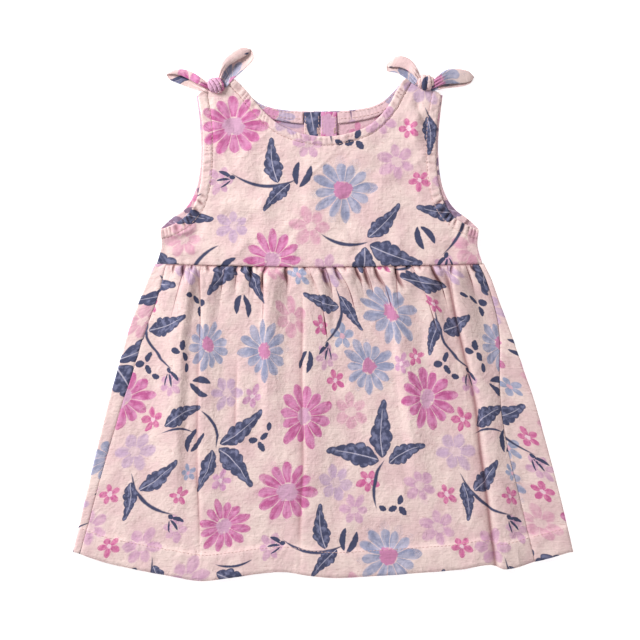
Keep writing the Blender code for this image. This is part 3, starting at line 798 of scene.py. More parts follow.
def sew_shell(name, places, faces, cut, thickness, materials, shade=0.0):
    """A closed thin shell from its right side. Lengths are in millimetres, and shade is
    painted shade: it makes a place as dark as a hollow, which the material paints darker."""
    note_cut(cut, faces)
    thickness = np.broadcast_to(thickness, len(places))
    shade = np.broadcast_to(shade, len(places))
    used, faces = np.unique(faces, return_inverse=True)
    faces = faces.reshape(-1, 4)
    places, cut, thickness = places[used], cut[used], thickness[used][:, None]
    normals = vertex_normals(places, faces)
    hollow = np.maximum(hollows(places, faces, normals), shade[used])
    inner = places - normals * thickness
    rim = open_edges(faces)
    outward = np.zeros_like(places)
    for end in (0, 1):
        direction = np.cross(places[rim[:, 1]] - places[rim[:, 0]], normals[rim[:, end]])
        np.add.at(outward, rim[:, end], direction)
    outward /= np.maximum(np.linalg.norm(outward, axis=1, keepdims=True), 1e-12)
    on_rim = np.unique(rim)
    middle = (places + inner)[on_rim] / 2 + outward[on_rim] * thickness[on_rim] * EDGE_ROUND
    count = len(places)
    middle_id = np.zeros(count, dtype=int)
    middle_id[on_rim] = np.arange(len(on_rim)) + 2 * count
    a, b = rim.T
    faces = np.concatenate([
        faces,
        faces[:, ::-1] + count,
        np.stack([b, a, middle_id[a], middle_id[b]], 1),
        np.stack([middle_id[b], middle_id[a], a + count, b + count], 1),
    ])
    mesh = bpy.data.meshes.new(name)
    mesh.from_pydata(np.concatenate([places, inner, middle]) * MM, [], faces.tolist())
    for material in materials:
        mesh.materials.append(material)
    sides = np.zeros(len(faces), dtype=np.int32)
    inner_faces = (faces >= count).all(axis=1) & (faces < 2 * count).all(axis=1)
    sides[inner_faces] = len(materials) - 1
    mesh.polygons.foreach_set("material_index", sides)
    mesh.shade_smooth()
    print_on(mesh, np.concatenate([cut, cut, cut[on_rim]]))
    note_hollows(mesh, np.concatenate([hollow, -hollow, np.zeros(len(on_rim))]))
    piece = bpy.data.objects.new(name, mesh)
    bpy.context.collection.objects.link(piece)
    print(f"{name}: {2 * len(faces)} triangles")
    return piece


def sew_grid(name, x, y, z, turned, cut, thickness, materials, shade=0.0):
    """The same from grids of x, y and z, and a flat cut of two grids."""
    places = np.stack([x, y, z], axis=-1).reshape(-1, 3)
    cut = np.stack(cut, axis=-1).reshape(-1, 2)
    faces = grid_faces(np.arange(x.size).reshape(x.shape), turned)
    thickness, shade = (np.broadcast_to(part, x.shape).ravel() for part in (thickness, shade))
    return sew_shell(name, places, faces, cut, thickness, materials, shade)


print("a grid of 3 by 3 places has", len(grid_faces(np.arange(9).reshape(3, 3))), "faces")

# %% [markdown]
# ## Sewn edges, creases and puckers
#
# Where cloth is faced and topstitched it is two or three layers thick, its edge rolls
# over, and the stitches draw it into small ridges from the edge to the seam. A crease is
# a low ridge or trough with a long soft side, and no two are alike, so they are listed
# one by one.

# %% What sewing does to an edge
FACING_WIDTH = 7.6  # from an armhole's edge to its topstitching
NECK_WIDTH = 6.8
VALLEY_WIDTH = 1.05
# RIB_SHADE is painted shade in the valleys between ribs
RIB_SHADE = 0.24  # how dark the valleys between ribs are, as a hollow
RIB_CHANGE, SLANT_CHANGE = 17.0, 33.0  # how far apart ribs differ in depth and slant
EDGE_PLUMP, EDGE_ROLL = 0.75, 0.6  # how padded a sewn edge is, and how far it rolls off


def along_edge(x, y, line):
    """How far places lie from a line, and how far along the line that is."""
    arc = arc_along(line)
    apart = np.hypot(x.reshape(-1, 1) - line[:, 0], y.reshape(-1, 1) - line[:, 1])
    return apart.min(axis=1).reshape(x.shape), arc[apart.argmin(axis=1)].reshape(x.shape)


def puckers(arc, spacing, seed):
    """Uneven ridges across a sewn edge, from -1 to 1."""
    wander = 0.7 * uneven(arc, 0.0, spacing * 2.3, seed)
    size = 0.62 + 0.38 * uneven(arc, 0.0, spacing * 3.7, seed + 1)
    return np.cos(math.tau * (arc / spacing + wander)) * size


def tucks(arc, spacing, seed):
    """Folds side by side with narrower valleys between, from -1 to 1."""
    wander = 0.6 * uneven(arc, 0.0, spacing * 2.1, seed)
    size = 0.80 + 0.20 * uneven(arc, 0.0, spacing * 3.3, seed + 1)
    return (2.0 * np.abs(np.sin(math.pi * (arc / spacing + wander))) ** 0.6 - 1.0) * size


def narrow_valleys(arc, spacing, seed):
    """How deep in one of a row of narrow valleys each place lies, from 0 to 1."""
    wander = 0.85 * uneven(arc, 0.0, spacing * 2.1, seed)
    off = np.sin(math.pi * (arc / spacing + wander)) * spacing / math.pi
    return np.exp(-((off / VALLEY_WIDTH) ** 2))


def sewn_edge(apart, arc, width, depth, spacing, groove, seed):
    """The height that a faced and topstitched edge adds to the cloth, and the shade painted in its
    ribs' valleys.
    """
    t = np.clip(apart / width, 0.0, 1.0)
    plump = EDGE_PLUMP * np.clip(1.0 - (2.0 * t - 1.0) ** 4, 0.0, 1.0) ** 0.7
    strong = (0.82 + 0.65 * uneven(arc, 0.0, RIB_CHANGE, seed + 5)).clip(0.20, 1.25)
    slant = 0.25 + 0.6 * uneven(arc, 0.0, SLANT_CHANGE, seed + 7)
    valley = narrow_valleys(arc + slant * apart, spacing, seed) * strong
    inside = np.sin(math.pi * np.clip(t, 0.10, 1.0)) ** 0.5
    beyond = 0.55 * np.exp(-((apart - width) / 3.0))
    valley *= np.where(apart < width, inside, beyond)
    sunk = groove * np.exp(-(((apart - width) / 0.8) ** 2))
    rolled = EDGE_ROLL * np.exp(-apart / 0.7)
    return plump - depth * valley - sunk - rolled, RIB_SHADE * valley


# A crease runs from one place to another: height is negative for a trough.
Crease = namedtuple("Crease", "x0 y0 x1 y1 width height")


def creases(x, y, table):
    """The height that listed creases add."""
    total = np.zeros_like(x)
    for crease in table:
        run = np.array([crease.x1 - crease.x0, crease.y1 - crease.y0])
        length = np.hypot(*run)
        along = ((x - crease.x0) * run[0] + (y - crease.y0) * run[1]) / length
        side = ((y - crease.y0) * run[0] - (x - crease.x0) * run[1]) / length
        side = side + 0.10 * length * np.sin(math.pi * along / length)
        first, last = along / length, 1.0 - along / length
        ends = soft_step(first / 0.4 + 0.2) * soft_step(last / 0.5)
        broad = np.where(side > 0, crease.width, crease.width * 0.55)
        total += crease.height * ends * np.exp(-((side / broad) ** 2))
    return total


# how far apart the fine creases are, how high, and how they are turned
WRINKLES = ((26.0, 0.46, 0.5), (15.0, 0.36, -0.7), (8.0, 0.22, 0.2))


def wrinkles(x, y, seed):
    """The fine crisscross creases of washed cotton, as low sharp ridges."""
    total = np.zeros(np.broadcast(x, y).shape)
    for spacing, size, turn in WRINKLES:
        bent = uneven(x, y, spacing * 1.7, seed + int(spacing)) * 0.5
        u = x * math.cos(turn) + y * math.sin(turn) + bent * spacing
        v = (y * math.cos(turn) - x * math.sin(turn)) * 0.55
        valley = np.abs(uneven(u, v, spacing, seed + 2 * int(spacing)))
        total += size * ((1.0 - 2.6 * valley).clip(0.0, 1.0) ** 1.6 - 0.25)
    return total


print("wrinkles at one place, mm:", float(wrinkles(10.0, 20.0, 1)))

# %% [markdown]
# ## The bodice
#
# The front bodice is one piece with its straps, and the back is two halves. Rows run from
# the waist seam up to the shoulder. Each row goes from the side seam or armhole in to the
# centre line or neck edge, so the panel's real edges are edges of the grid.

# %% The bodice's sections
CLOTH, GAP = 1.0, 0.3  # the construction's layer of cloth, and the air above it
LAYER = CLOTH + GAP
SHELL = 0.62  # the dressed cloth's own thickness
BODICE_X = -2.8  # the bodice's centre line
HALF_WIDTH = 130.0  # from there to a side seam at the waist
WAIST_CENTRE_Y, WAIST_SIDE_Y = 36.4, 39.2
Section = namedtuple("Section", "side side_y inner inner_y lean")
FRONT_BODICE = [Section(*row) for row in (
    (130.0, 39.2, 0.0, 36.4, 0.0),
    (126.0, 54.0, 0.0, 56.0, 0.5),
    (127.0, 67.2, 0.0, 78.0, 1.2),
    (119.0, 70.2, 0.0, 92.0, 1.8),
    (110.7, 74.8, 0.0, 104.0, 2.4),
    (103.8, 81.2, 0.0, 116.0, 3.0),
    (98.2, 91.2, 0.0, 129.0, 3.6),
    (94.9, 104.4, 0.0, 141.2, 4.2),
    (93.5, 118.8, 17.6, 143.4, 4.2),
    (93.1, 132.0, 33.6, 149.2, 4.2),
    (93.4, 146.8, 44.2, 157.4, 3.8),
    (94.7, 158.8, 52.8, 167.2, 3.0),
    (96.2, 167.2, 59.6, 177.4, 1.6),
    (97.6, 175.6, 67.2, 187.4, 0.0),
)]
BACK_BODICE = [Section(*row) for row in (
    (130.0, 39.2, 0.0, 36.4, 0.0),
    (126.0, 54.0, 0.0, 58.0, 0.0),
    (127.0, 67.6, 0.0, 82.0, 0.0),
    (118.4, 75.6, 0.0, 104.0, 0.0),
    (108.6, 82.8, 0.0, 124.0, 0.0),
    (102.4, 90.8, 0.0, 144.0, 0.0),
    (98.0, 101.6, 0.0, 161.2, 0.0),
    (95.6, 114.8, 15.2, 161.6, 0.0),
    (94.6, 130.8, 28.0, 162.6, 0.0),
    (95.2, 146.8, 40.0, 164.8, 0.0),
    (96.4, 158.8, 50.0, 169.2, 0.0),
    (97.4, 167.4, 59.4, 177.6, 0.0),
    (98.4, 174.0, 67.2, 187.0, 0.0),
)]
UNDERARM = 2  # the row of the table where the side seam ends and the armhole starts
# How far each shoulder edge sinks under its knot, where, and over what share of it
STRAP_DIPS = {-1.0: (7.0, 0.58, 0.24), 1.0: (2.8, 0.50, 0.20)}
DIP_SHARE = 0.91  # the cloth dips a little less than the solid, so no light shows between
CORNER_ROUND = 2.2  # how far a strap's two top corners are rounded in
FRONT_STEP, FRONT_COLUMNS = 1.0, 78
BACK_STEP, BACK_COLUMNS = 2.0, 56


def neck_row(sections):
    """The row of the table where the centre line ends and the neck edge starts."""
    return next(k for k, row in enumerate(sections) if row.inner > 0.0) - 1


def cornered(points, corner, t, mirror=None):
    """Places on a line that is smooth but for one corner. mirror continues the part
    beyond the corner, so that it leaves the centre line level."""
    below, above = points[:corner + 1], points[corner:]
    if mirror is not None:
        above = np.vstack([mirror, above])
    shift = corner if mirror is None else corner - 1
    low = curve(below, np.minimum(t, corner))
    high = curve(above, np.maximum(t, corner) - shift)
    return np.where((t <= corner)[:, None], low, high)


def bodice_edges(sections, side, centre_x, t):
    """The outer and inner ends of rows at places t down the table."""
    outer = np.stack([BODICE_X + side * column(sections, "side"), column(sections, "side_y")], 1)
    inner_x = BODICE_X + side * column(sections, "inner") + column(sections, "lean")
    neck = neck_row(sections)
    inner_y = column(sections, "inner_y")
    first = np.stack([inner_x, inner_y], 1)
    mirrored = first[neck + 1].copy()
    mirrored[0] = 2 * first[neck, 0] - mirrored[0]
    if centre_x is not None:
        first[:neck + 1, 0] = centre_x
    return (cornered(outer, UNDERARM, t),
            cornered(first, neck, t, mirrored if centre_x is None else None))


def spread_rows(sections, step):
    """Places down the table about step apart, with one on each of its rows."""
    t = []
    for k, (low, high) in enumerate(zip(sections, sections[1:])):
        reach = max(math.hypot(high.side - low.side, high.side_y - low.side_y),
                    math.hypot(high.inner - low.inner, high.inner_y - low.inner_y))
        t += [k + f for f in np.linspace(0.0, 1.0, math.ceil(reach / step), endpoint=False)]
    return np.array(t + [len(sections) - 1.0])


def bodice_grid(sections, side, step, columns, centre_x=None):
    """x and y of a bodice half, closer together at its two edges."""
    t = spread_rows(sections, step)
    outer, inner = bodice_edges(sections, side, centre_x, t)
    share = np.linspace(0.0, 1.0, columns + 1)
    share = share - 0.5 * np.sin(math.tau * share) / math.tau
    grid = outer[:, None] * (1 - share[:, None]) + inner[:, None] * share[:, None]
    top = np.clip(t - (len(sections) - 2), 0.0, 1.0) ** 2
    depth, middle, reach = STRAP_DIPS[side]
    grid[..., 1] -= DIP_SHARE * depth * top[:, None] * np.exp(-(((share - middle) / reach) ** 2))
    ends = np.exp(-share / 0.12) - np.exp(-(1.0 - share) / 0.12)
    grid[..., 0] -= side * CORNER_ROUND * top[:, None] ** 3 * ends
    return grid[..., 0], grid[..., 1]


def edge_lines(sections, side, centre_x=None):
    """The armhole and the neck edge as closely spaced places."""
    fine = np.linspace(0.0, len(sections) - 1.0, 900)
    outer, inner = bodice_edges(sections, side, centre_x, fine)
    return outer[fine >= UNDERARM], inner[fine >= neck_row(sections)]


print("bodice rows:", len(spread_rows(FRONT_BODICE, FRONT_STEP)))

# %% Creases of the front bodice
FRONT_CREASES = [Crease(*row) for row in (
    (-128, 62, -96, 74, 5.0, 1.1),
    (-126, 50, -92, 55, 6.0, 0.9),
    (-112, 44, -98, 96, 7.0, -0.7),
    (122, 58, 90, 72, 6.0, 1.2),
    (120, 46, 78, 60, 7.0, 0.9),
    (104, 42, 92, 92, 7.0, -0.8),
    (-86, 172, -78, 128, 6.0, 0.9),
    (-74, 170, -66, 138, 5.0, -0.8),
    (82, 170, 74, 130, 6.0, 0.9),
    (74, 174, 92, 140, 4.0, -0.9),
    (68, 166, 84, 128, 4.5, 0.8),
    (-52, 132, -30, 74, 9.0, -0.8),
    (-40, 110, -44, 50, 8.0, 0.7),
    (-8, 128, -4, 66, 10.0, 0.7),
    (30, 118, 18, 58, 9.0, -0.8),
    (56, 122, 44, 70, 9.0, 0.8),
    (-90, 88, -20, 96, 9.0, 0.5),
    (84, 100, 10, 92, 9.0, -0.5),
    (-70, 44, -60, 66, 5.0, 0.8),
    (-24, 42, -28, 60, 5.0, 0.7),
    (24, 42, 30, 64, 5.0, -0.8),
    (60, 42, 56, 66, 5.0, 0.8),
)]
CREASE_STRENGTH = 1.8
print("creases:", len(FRONT_CREASES))

# %% [markdown]
# The layers of a flat garment lie on one another, so each panel starts at the height of
# what is beneath it: highest on the centre line, where the back laps, and low at the sides.


# %% The front bodice
WAIST_TUCK = 2.0  # how far the cloth turns down into the waist seam
# SEAM_SHADE is painted shade along the waist seam
SEAM_SHADE = 0.30  # how dark the cloth is in that seam, as a hollow
SIDE_SLOPE = 18.0  # how far in from the side seams the front starts to come down
WAIST_SLOPE = (50.0, 62.0)  # between which places it comes down to the waist
FRONT_CUT = (40.0, 12.0)  # where on the print it is cut
SIDES = (-1.0, 1.0)  # left and right


def front_bodice_top(x, y, side):
    """The height and the painted shade of the front bodice's right side."""
    armhole, neck = edge_lines(FRONT_BODICE, side)
    out = np.abs(x - BODICE_X) / HALF_WIDTH
    low = CLOTH + LAYER + 0.3
    in_from_side = np.clip((1.0 - out) * HALF_WIDTH / SIDE_SLOPE, 0.0, 1.0)
    up_from_waist = soft_step((y - WAIST_SLOPE[0]) / (WAIST_SLOPE[1] - WAIST_SLOPE[0]))
    rise = 2.0 * LAYER * (2.0 - out) + CLOTH - low
    base = low + rise * np.maximum(in_from_side, up_from_waist)
    soft = 0.8 * uneven(x, y, 24.0, 3) + 0.34 * uneven(x, y, 9.0, 4) + wrinkles(x, y, 5)
    apart, arc = along_edge(x, y, armhole)
    sewn, shade = sewn_edge(apart, arc, FACING_WIDTH, 1.3, 4.5, 0.16, 11)
    apart, arc = along_edge(x, y, neck)
    neck_sewn, neck_shade = sewn_edge(apart, arc, NECK_WIDTH, 0.7, 4.6, 0.35, 17)
    to_seam = y - WAIST_CENTRE_Y - (WAIST_SIDE_Y - WAIST_CENTRE_Y) * out**2
    tucked = WAIST_TUCK * np.exp(-to_seam / 1.1)
    drawn = 0.45 * tucks(x, 10.0, 23) * np.exp(-to_seam / 6.0)
    height = base + soft + sewn + neck_sewn + CREASE_STRENGTH * creases(x, y, FRONT_CREASES)
    seam_shade = SEAM_SHADE * np.exp(-((to_seam / 0.7) ** 2))
    return height - tucked + drawn, np.maximum(shade + 0.7 * neck_shade, seam_shade)


def join_halves(left, right, shared_rows):
    """Places and faces of two halves, each given as x, y and z, which share their centre
    line for their first rows."""
    left_ids = np.arange(left[0].size).reshape(left[0].shape)
    right_ids = left_ids.size + np.arange(right[0].size).reshape(right[0].shape)
    right_ids[:shared_rows, -1] = left_ids[:shared_rows, -1]
    places = np.concatenate([np.stack(half, axis=-1).reshape(-1, 3) for half in (left, right)])
    return places, np.concatenate([grid_faces(left_ids), grid_faces(right_ids, turned=True)])


halves, shades = [], []
for side in SIDES:
    x, y = bodice_grid(FRONT_BODICE, side, FRONT_STEP, FRONT_COLUMNS)
    z, shade = front_bodice_top(x, y, side)
    halves.append((x, y, z))
    shades.append(shade.ravel())
shared_rows = int((spread_rows(FRONT_BODICE, FRONT_STEP) <= neck_row(FRONT_BODICE)).sum())
places, faces = join_halves(*halves, shared_rows)
front_bodice = sew_shell("front_bodice_cloth", places, faces, places[:, :2] + FRONT_CUT,
                         SHELL, BOTH_SIDES, np.concatenate(shades))

# %% [markdown]
# ## Inside the back
#
# Through the neck the inside of the back shows: the wrong side of its two halves, the
# facings that finish its neck and armholes, and the two strips of the placket. The right
# side of each half faces down, so its faces are turned over.

# %% The back halves
LAP_X = 7.0  # how far the left half runs under the right one
LAP_EDGE_X = -1.9  # the free edge of the right half
BACK_CUT = (30.0, 150.0)  # where on the print they are cut
ON_TABLE = 0.02  # the lowest that cloth lies
# each half's side, where its free edge is, and on how many layers it lies
BACK_HALVES = {"left": (-1.0, LAP_X, 1.0), "right": (1.0, LAP_EDGE_X, 2.0)}


def back_rise(x, layers):
    """How high a back half lies: over the snaps, or over those and the other half."""
    return layers * LAYER * (1.0 - np.abs(x) / HALF_WIDTH)


def add_back_half(name, side, centre_x, layers, seed):
    """One half of the back bodice."""
    x, y = bodice_grid(BACK_BODICE, side, BACK_STEP, BACK_COLUMNS, centre_x)
    armhole, neck = edge_lines(BACK_BODICE, side, centre_x)
    soft = 0.14 * uneven(x, y, 17.0, seed) + 0.06 * uneven(x, y, 6.0, seed + 1)
    z = back_rise(x, layers) + 0.1 + soft
    for line, spacing in ((armhole, 5.6), (neck, 4.4)):
        apart, arc = along_edge(x, y, line)
        z = z + 0.16 * puckers(arc, spacing, seed + 5) * np.exp(-apart / 6.0)
    cut = (BACK_CUT[0] - x, BACK_CUT[1] + y)
    return sew_grid(name, x, y, np.maximum(z, ON_TABLE), side < 0, cut, SHELL, BOTH_SIDES)


back_halves = {}
for seed, (name, spec) in enumerate(BACK_HALVES.items(), start=31):
    back_halves[name] = add_back_half(f"back_bodice_{name}_cloth", *spec, seed)

# %% [markdown]
# A strip follows an edge and lies inside it. Its rows run along the edge, and its two
# long edges are turned under, so they are rounded off and held down by their stitches.


# %% Strips along an edge
STRIP_SHELL = 0.5  # thinner than the panels
STRIP_RISE, STRIP_PLUMP = 0.62, 0.5  # how high its right side is, and how padded
STRIP_CUT = 11.0  # how wide it is cut


def strip_grid(edge, side, width, step, lines):
    """x, y, the share across and how far along, of a strip beside an edge."""
    arc = arc_along(edge)
    at = np.linspace(0.0, arc[-1], max(int(arc[-1] / step), 2) + 1)
    middle = np.stack([np.interp(at, arc, edge[:, k]) for k in (0, 1)], axis=-1)
    run = np.gradient(middle, axis=0)
    run /= np.hypot(run[:, 0], run[:, 1])[:, None]
    inward = np.stack([run[:, 1], -run[:, 0]], axis=-1) * side
    wide = np.interp(at, (0.0, arc[-1]), width)[:, None, None]
    share = np.linspace(0.02, 1.0, lines)
    grid = middle[:, None] + inward[:, None] * share[:, None] * wide
    return grid[..., 0], grid[..., 1], np.broadcast_to(share, grid.shape[:2]), at


# how far apart its rows are, how many lines it has, its ridges' height and spacing, its cloth
StripKind = namedtuple("StripKind", "step lines ridge spacing cloth")
STRIP_KINDS = {
    "neck_facing": StripKind(0.8, 13, 0.3, 3.4, FACING),
    "armhole_facing": StripKind(0.9, 11, 0.25, 4.6, FACING),
    "back_placket": StripKind(1.0, 17, 0.10, 7.0, PRINTED),
}


def add_strip(kind, name, edge, side, width, layers, seed, cut):
    """A strip of cloth, right side up, on one half of the back."""
    own = STRIP_KINDS[kind]
    x, y, share, at = strip_grid(edge, side, width, own.step, own.lines)
    arc = np.broadcast_to(at[:, None], x.shape)
    plump = np.clip(1.0 - (2.0 * share - 1.0) ** 6, 0.0, 1.0) ** 0.5
    ridges = own.ridge * puckers(arc, own.spacing, seed) * np.sin(math.pi * share) ** 0.7
    seat = back_rise(x, layers) + LAYER
    z = seat + STRIP_RISE + STRIP_PLUMP * plump + ridges
    flat = (arc + cut[0], share * STRIP_CUT + cut[1])
    return sew_grid(f"{kind}_{name}_cloth", x, y, z, side < 0, flat, STRIP_SHELL, [own.cloth])


PLACKETS = {"left": (-15.2, -2.2), "right": (-1.6, 11.2)}  # the placket strips' two edges
PLACKET_TOP_Y, PLACKET_FOOT_Y = 160.6, 37.4
PLACKET_CUTS = {"left": (196.0, 188.0), "right": (148.0, 156.0)}  # where on the print
NECK_FACING = (10.0, 7.2)  # its width at the placket and at the shoulder
ARMHOLE_FACING = (8.0, 8.0)
FACING_FOOT_Y = 75.6  # an armhole's facing starts this high, clear of the side seam


def upright(x, low, high):
    """A line up a placket."""
    return np.array([[x, low], [x, high]])


def facing_lines(name):
    """The armhole and the neck edge of a back half, as far as its facings follow them."""
    side, centre_x, _ = BACK_HALVES[name]
    armhole, neck = edge_lines(BACK_BODICE, side, centre_x)
    start = PLACKETS[name][0] - GAP if side < 0 else PLACKETS[name][1] + GAP
    return armhole[armhole[:, 1] > FACING_FOOT_Y], neck[side * (neck[:, 0] - start) >= 0.0]


inside_pieces = {}
for seed, (name, (side, _, layers)) in enumerate(BACK_HALVES.items(), start=51):
    armhole, neck = facing_lines(name)
    low, high = PLACKETS[name]
    placket = upright(low, PLACKET_FOOT_Y, PLACKET_TOP_Y)
    for kind, *rest in (
        ("neck_facing", neck, side, NECK_FACING, layers, seed, (18.0, 40.0 + 60.0 * seed)),
        ("armhole_facing", armhole, -side, ARMHOLE_FACING, layers, seed + 7, (70.0, 44.0 * seed)),
        ("back_placket", placket, 1.0, (high - low,) * 2, layers, seed + 9, PLACKET_CUTS[name]),
    ):
        inside_pieces[f"{kind}_{name}"] = add_strip(kind, name, *rest)

# %% [markdown]
# ## The skirt
#
# The front skirt is gathered into the waist seam. Each gather is a row of a table, and so
# is each long fold, because real gathers differ in width, height and length. The grid's
# columns follow the gathers' valleys down the skirt, so that a narrow valley stays sharp.

# %% The skirt's outline
HEM_SIDE_Y = -189.4
HEM_START, HEM_STEP = 0.914, 0.006  # where the turned-up hem begins, as a share
RISE_REACH = 0.36  # how far down the layers at the waist still lift the skirt
SKIRT_LENGTH, SKIRT_WIDTH = 245.0, 330.0  # roughly, to turn its shares into sizes
TUCKED_UNDER = 1.0  # how far the skirt's top edge runs under the bodice
SkirtSide = namedtuple("SkirtSide", "height left right left_seam right_seam")
SKIRT_SIDES = [SkirtSide(*row) for row in (
    (39.2, -134.4, 128.8, 9.0, 4.5),
    (26.8, -140.0, 134.8, 11.5, 4.5),
    (10.8, -146.4, 140.4, 13.5, 5.0),
    (-5.2, -152.6, 146.4, 13.5, 7.0),
    (-21.2, -157.8, 152.2, 13.0, 11.0),
    (-37.2, -162.4, 158.0, 12.5, 17.0),
    (-69.2, -171.2, 168.8, 11.0, 27.0),
    (-101.2, -179.2, 177.8, 9.5, 30.5),
    (-133.2, -186.8, 186.4, 8.0, 31.0),
    (-165.2, -194.2, 194.2, 7.0, 31.0),
    (-189.4, -200.0, 200.0, 6.0, 31.0),
)]
HemPoint = namedtuple("HemPoint", "across height")
HEM = [HemPoint(*row) for row in (
    (0.000, -189.4),
    (0.062, -198.2),
    (0.134, -204.6),
    (0.194, -209.2),
    (0.254, -213.2),
    (0.314, -210.8),
    (0.374, -207.4),
    (0.424, -206.2),
    (0.474, -209.2),
    (0.524, -210.8),
    (0.594, -209.4),
    (0.694, -206.8),
    (0.774, -204.2),
    (0.834, -200.4),
    (0.864, -203.4),
    (0.914, -198.8),
    (1.000, -189.4),
)]
print("skirt outline:", len(SKIRT_SIDES), "rows,", len(HEM), "hem points")

# %% The gathers
# waist and hem say where a gather's left valley lies, as shares of the width, and sway
# is how far it runs beside the straight line between them at its reach
Gather = namedtuple("Gather", "waist hem sway height reach lean")
FRONT_GATHERS = [Gather(*row) for row in (
    (None, None, 0.0, 1.8, 0.26, 0.50),  # starts at the left side seam
    (0.095, 0.120, 0.0, 2.4, 0.34, 0.55),
    (0.141, 0.236, 0.027, 3.4, 0.34, 0.35),
    (0.213, 0.290, 0.0, 2.4, 0.14, 0.50),
    (0.252, 0.316, 0.0, 1.8, 0.12, 0.50),
    (0.295, 0.340, 0.0, 2.4, 0.15, 0.65),
    (0.330, 0.368, 0.012, 3.0, 0.25, 0.35),
    (0.400, 0.420, 0.006, 2.6, 0.16, 0.60),
    (0.466, 0.500, 0.048, 3.0, 0.26, 0.35),
    (0.516, 0.555, 0.018, 2.4, 0.13, 0.50),
    (0.547, 0.610, 0.044, 2.8, 0.17, 0.40),
    (0.606, 0.660, 0.014, 2.2, 0.10, 0.50),
    (0.638, 0.695, 0.010, 2.4, 0.12, 0.40),
    (0.667, 0.722, 0.026, 2.6, 0.15, 0.35),
    (0.730, 0.755, -0.018, 2.8, 0.26, 0.50),
    (0.781, 0.795, 0.028, 3.4, 0.27, 0.35),
    (0.839, 0.832, 0.016, 2.8, 0.12, 0.35),
    (0.887, 0.848, -0.012, 3.4, 0.36, 0.40),
    (0.943, 0.888, 0.0, 2.2, 0.13, 0.50),
)]
BACK_GATHER_HEIGHTS = (1.2, 1.6, 1.0, 1.5, 1.1, 1.6, 1.3)  # repeated across the back
BACK_GATHER_COUNT = 14
BACK_GATHER_REACH = 0.34
print("gathers:", len(FRONT_GATHERS), "in front,", BACK_GATHER_COUNT, "behind")

# %% [markdown]
# Close to the seam the needle leaves small tucks, and lower down the cloth lies in a few
# long soft folds. A fold's crest runs from a share of the width at the waist to another at
# the hem, with a flank on either side.

# %% Tucks and long folds
FRONT_TUCKS = [Crease(*row) for row in (
    (-125, 44, -129, 32, 1.4, -1.0),
    (-117, 42, -119, 29, 1.4, -1.4),
    (-110, 42, -111, 28, 1.6, -1.7),
    (-103, 42, -104, 32, 1.3, -1.3),
    (-92, 42, -88, 31, 1.5, -1.5),
    (-84, 42, -79, 32, 1.4, -1.3),
    (-69, 42, -69, 30, 1.4, -1.6),
    (-64, 42, -63, 32, 1.3, -1.4),
    (-57, 42, -56, 27, 1.7, -1.9),
    (-51, 42, -52, 33, 1.3, -1.4),
    (-41, 44, -48, 14, 1.8, -1.7),
    (-29, 42, -27, 21, 1.6, -1.7),
    (-17, 42, -11, 32, 1.4, -1.4),
    (-5, 42, 4, 29, 1.5, -1.5),
    (0, 43, 8, 16, 1.6, -1.8),
    (9, 42, 18, 21, 1.5, -1.4),
    (17, 42, 20, 32, 1.3, -1.4),
    (25, 42, 34, 22, 1.6, -1.7),
    (33, 43, 41, 16, 1.6, -1.7),
    (40, 42, 53, 18, 1.6, -1.5),
    (49, 42, 53, 32, 1.3, -1.3),
    (57, 43, 69, 15, 1.8, -1.9),
    (66, 42, 69, 33, 1.3, -1.4),
    (77, 42, 80, 33, 1.3, -1.3),
    (93, 42, 96, 33, 1.3, -1.4),
    (85, 43, 101, 18, 1.8, -2.0),
    (104, 42, 105, 28, 1.4, -1.4),
    (117, 44, 125, 30, 1.8, -1.7),
)]
CRISP_FLANK = 0.02  # a fold's side that is no wider rises steeply
# FOLD_SHADE is painted shade at a fold's foot
FOLD_SHADE = 0.20  # how dark its foot is, as a hollow
# The flanks are shares of the width, and start and end are shares of the length.
Fold = namedtuple("Fold", "waist hem left_flank right_flank height start end")
FRONT_FOLDS = [
    Fold(0.118, 0.208, 0.070, 0.026, 3.2, 0.00, 0.85),
    Fold(0.176, 0.264, 0.011, 0.055, 2.2, 0.22, 1.00),
    Fold(0.288, 0.330, 0.012, 0.050, 2.0, 0.30, 0.70),
    Fold(0.358, 0.392, 0.026, 0.055, 2.6, 0.00, 0.60),
    Fold(0.466, 0.468, 0.012, 0.075, 2.8, 0.10, 1.05),
    Fold(0.712, 0.706, 0.026, 0.060, 2.8, 0.00, 0.80),
    Fold(0.815, 0.790, 0.040, 0.040, 2.2, 0.00, 0.50),
    Fold(0.893, 0.864, 0.018, 0.064, 4.6, 0.00, 1.20),
]
print("tucks", len(FRONT_TUCKS), "folds", len(FRONT_FOLDS))

# %% [markdown]
# A place on the skirt is a share across and a share down, and its sides and hem turn these
# into x and y. Its height is a sum: what it lies on, its own layers, the folds, the
# wrinkles of washed cotton and what the stitches draw in.


# %% Where the skirt lies
HEM_SEWN = 1.2  # how far below the top of the hem its stitches are
HEM_ECHO = 13.0  # how far above it a faint line is pressed in
TENT = (2.0, 1.6)  # how far the waist's layers lift the skirt, and more in its middle


def side_rows(down, *names):
    """Readings of the table of sides at shares down the skirt."""
    height = WAIST_SIDE_Y + (HEM_SIDE_Y - WAIST_SIDE_Y) * down
    return [read(SKIRT_SIDES, "height", name, height) for name in names]


def skirt_place(across, down):
    """x and y of a place on the skirt."""
    left, right = side_rows(down, "left", "right")
    waist = WAIST_CENTRE_Y + (WAIST_SIDE_Y - WAIST_CENTRE_Y) * (2 * across - 1) ** 2 - GAP
    waist = waist + TUCKED_UNDER
    hem = read(HEM, "across", "height", across)
    return left + (right - left) * across, waist + (hem - waist) * down


def seam_across(down, name):
    """A side seam's share of the width."""
    left, right, inset = side_rows(down, "left", "right", name)
    inset = inset / (right - left)
    return inset if name == "left_seam" else 1.0 - inset


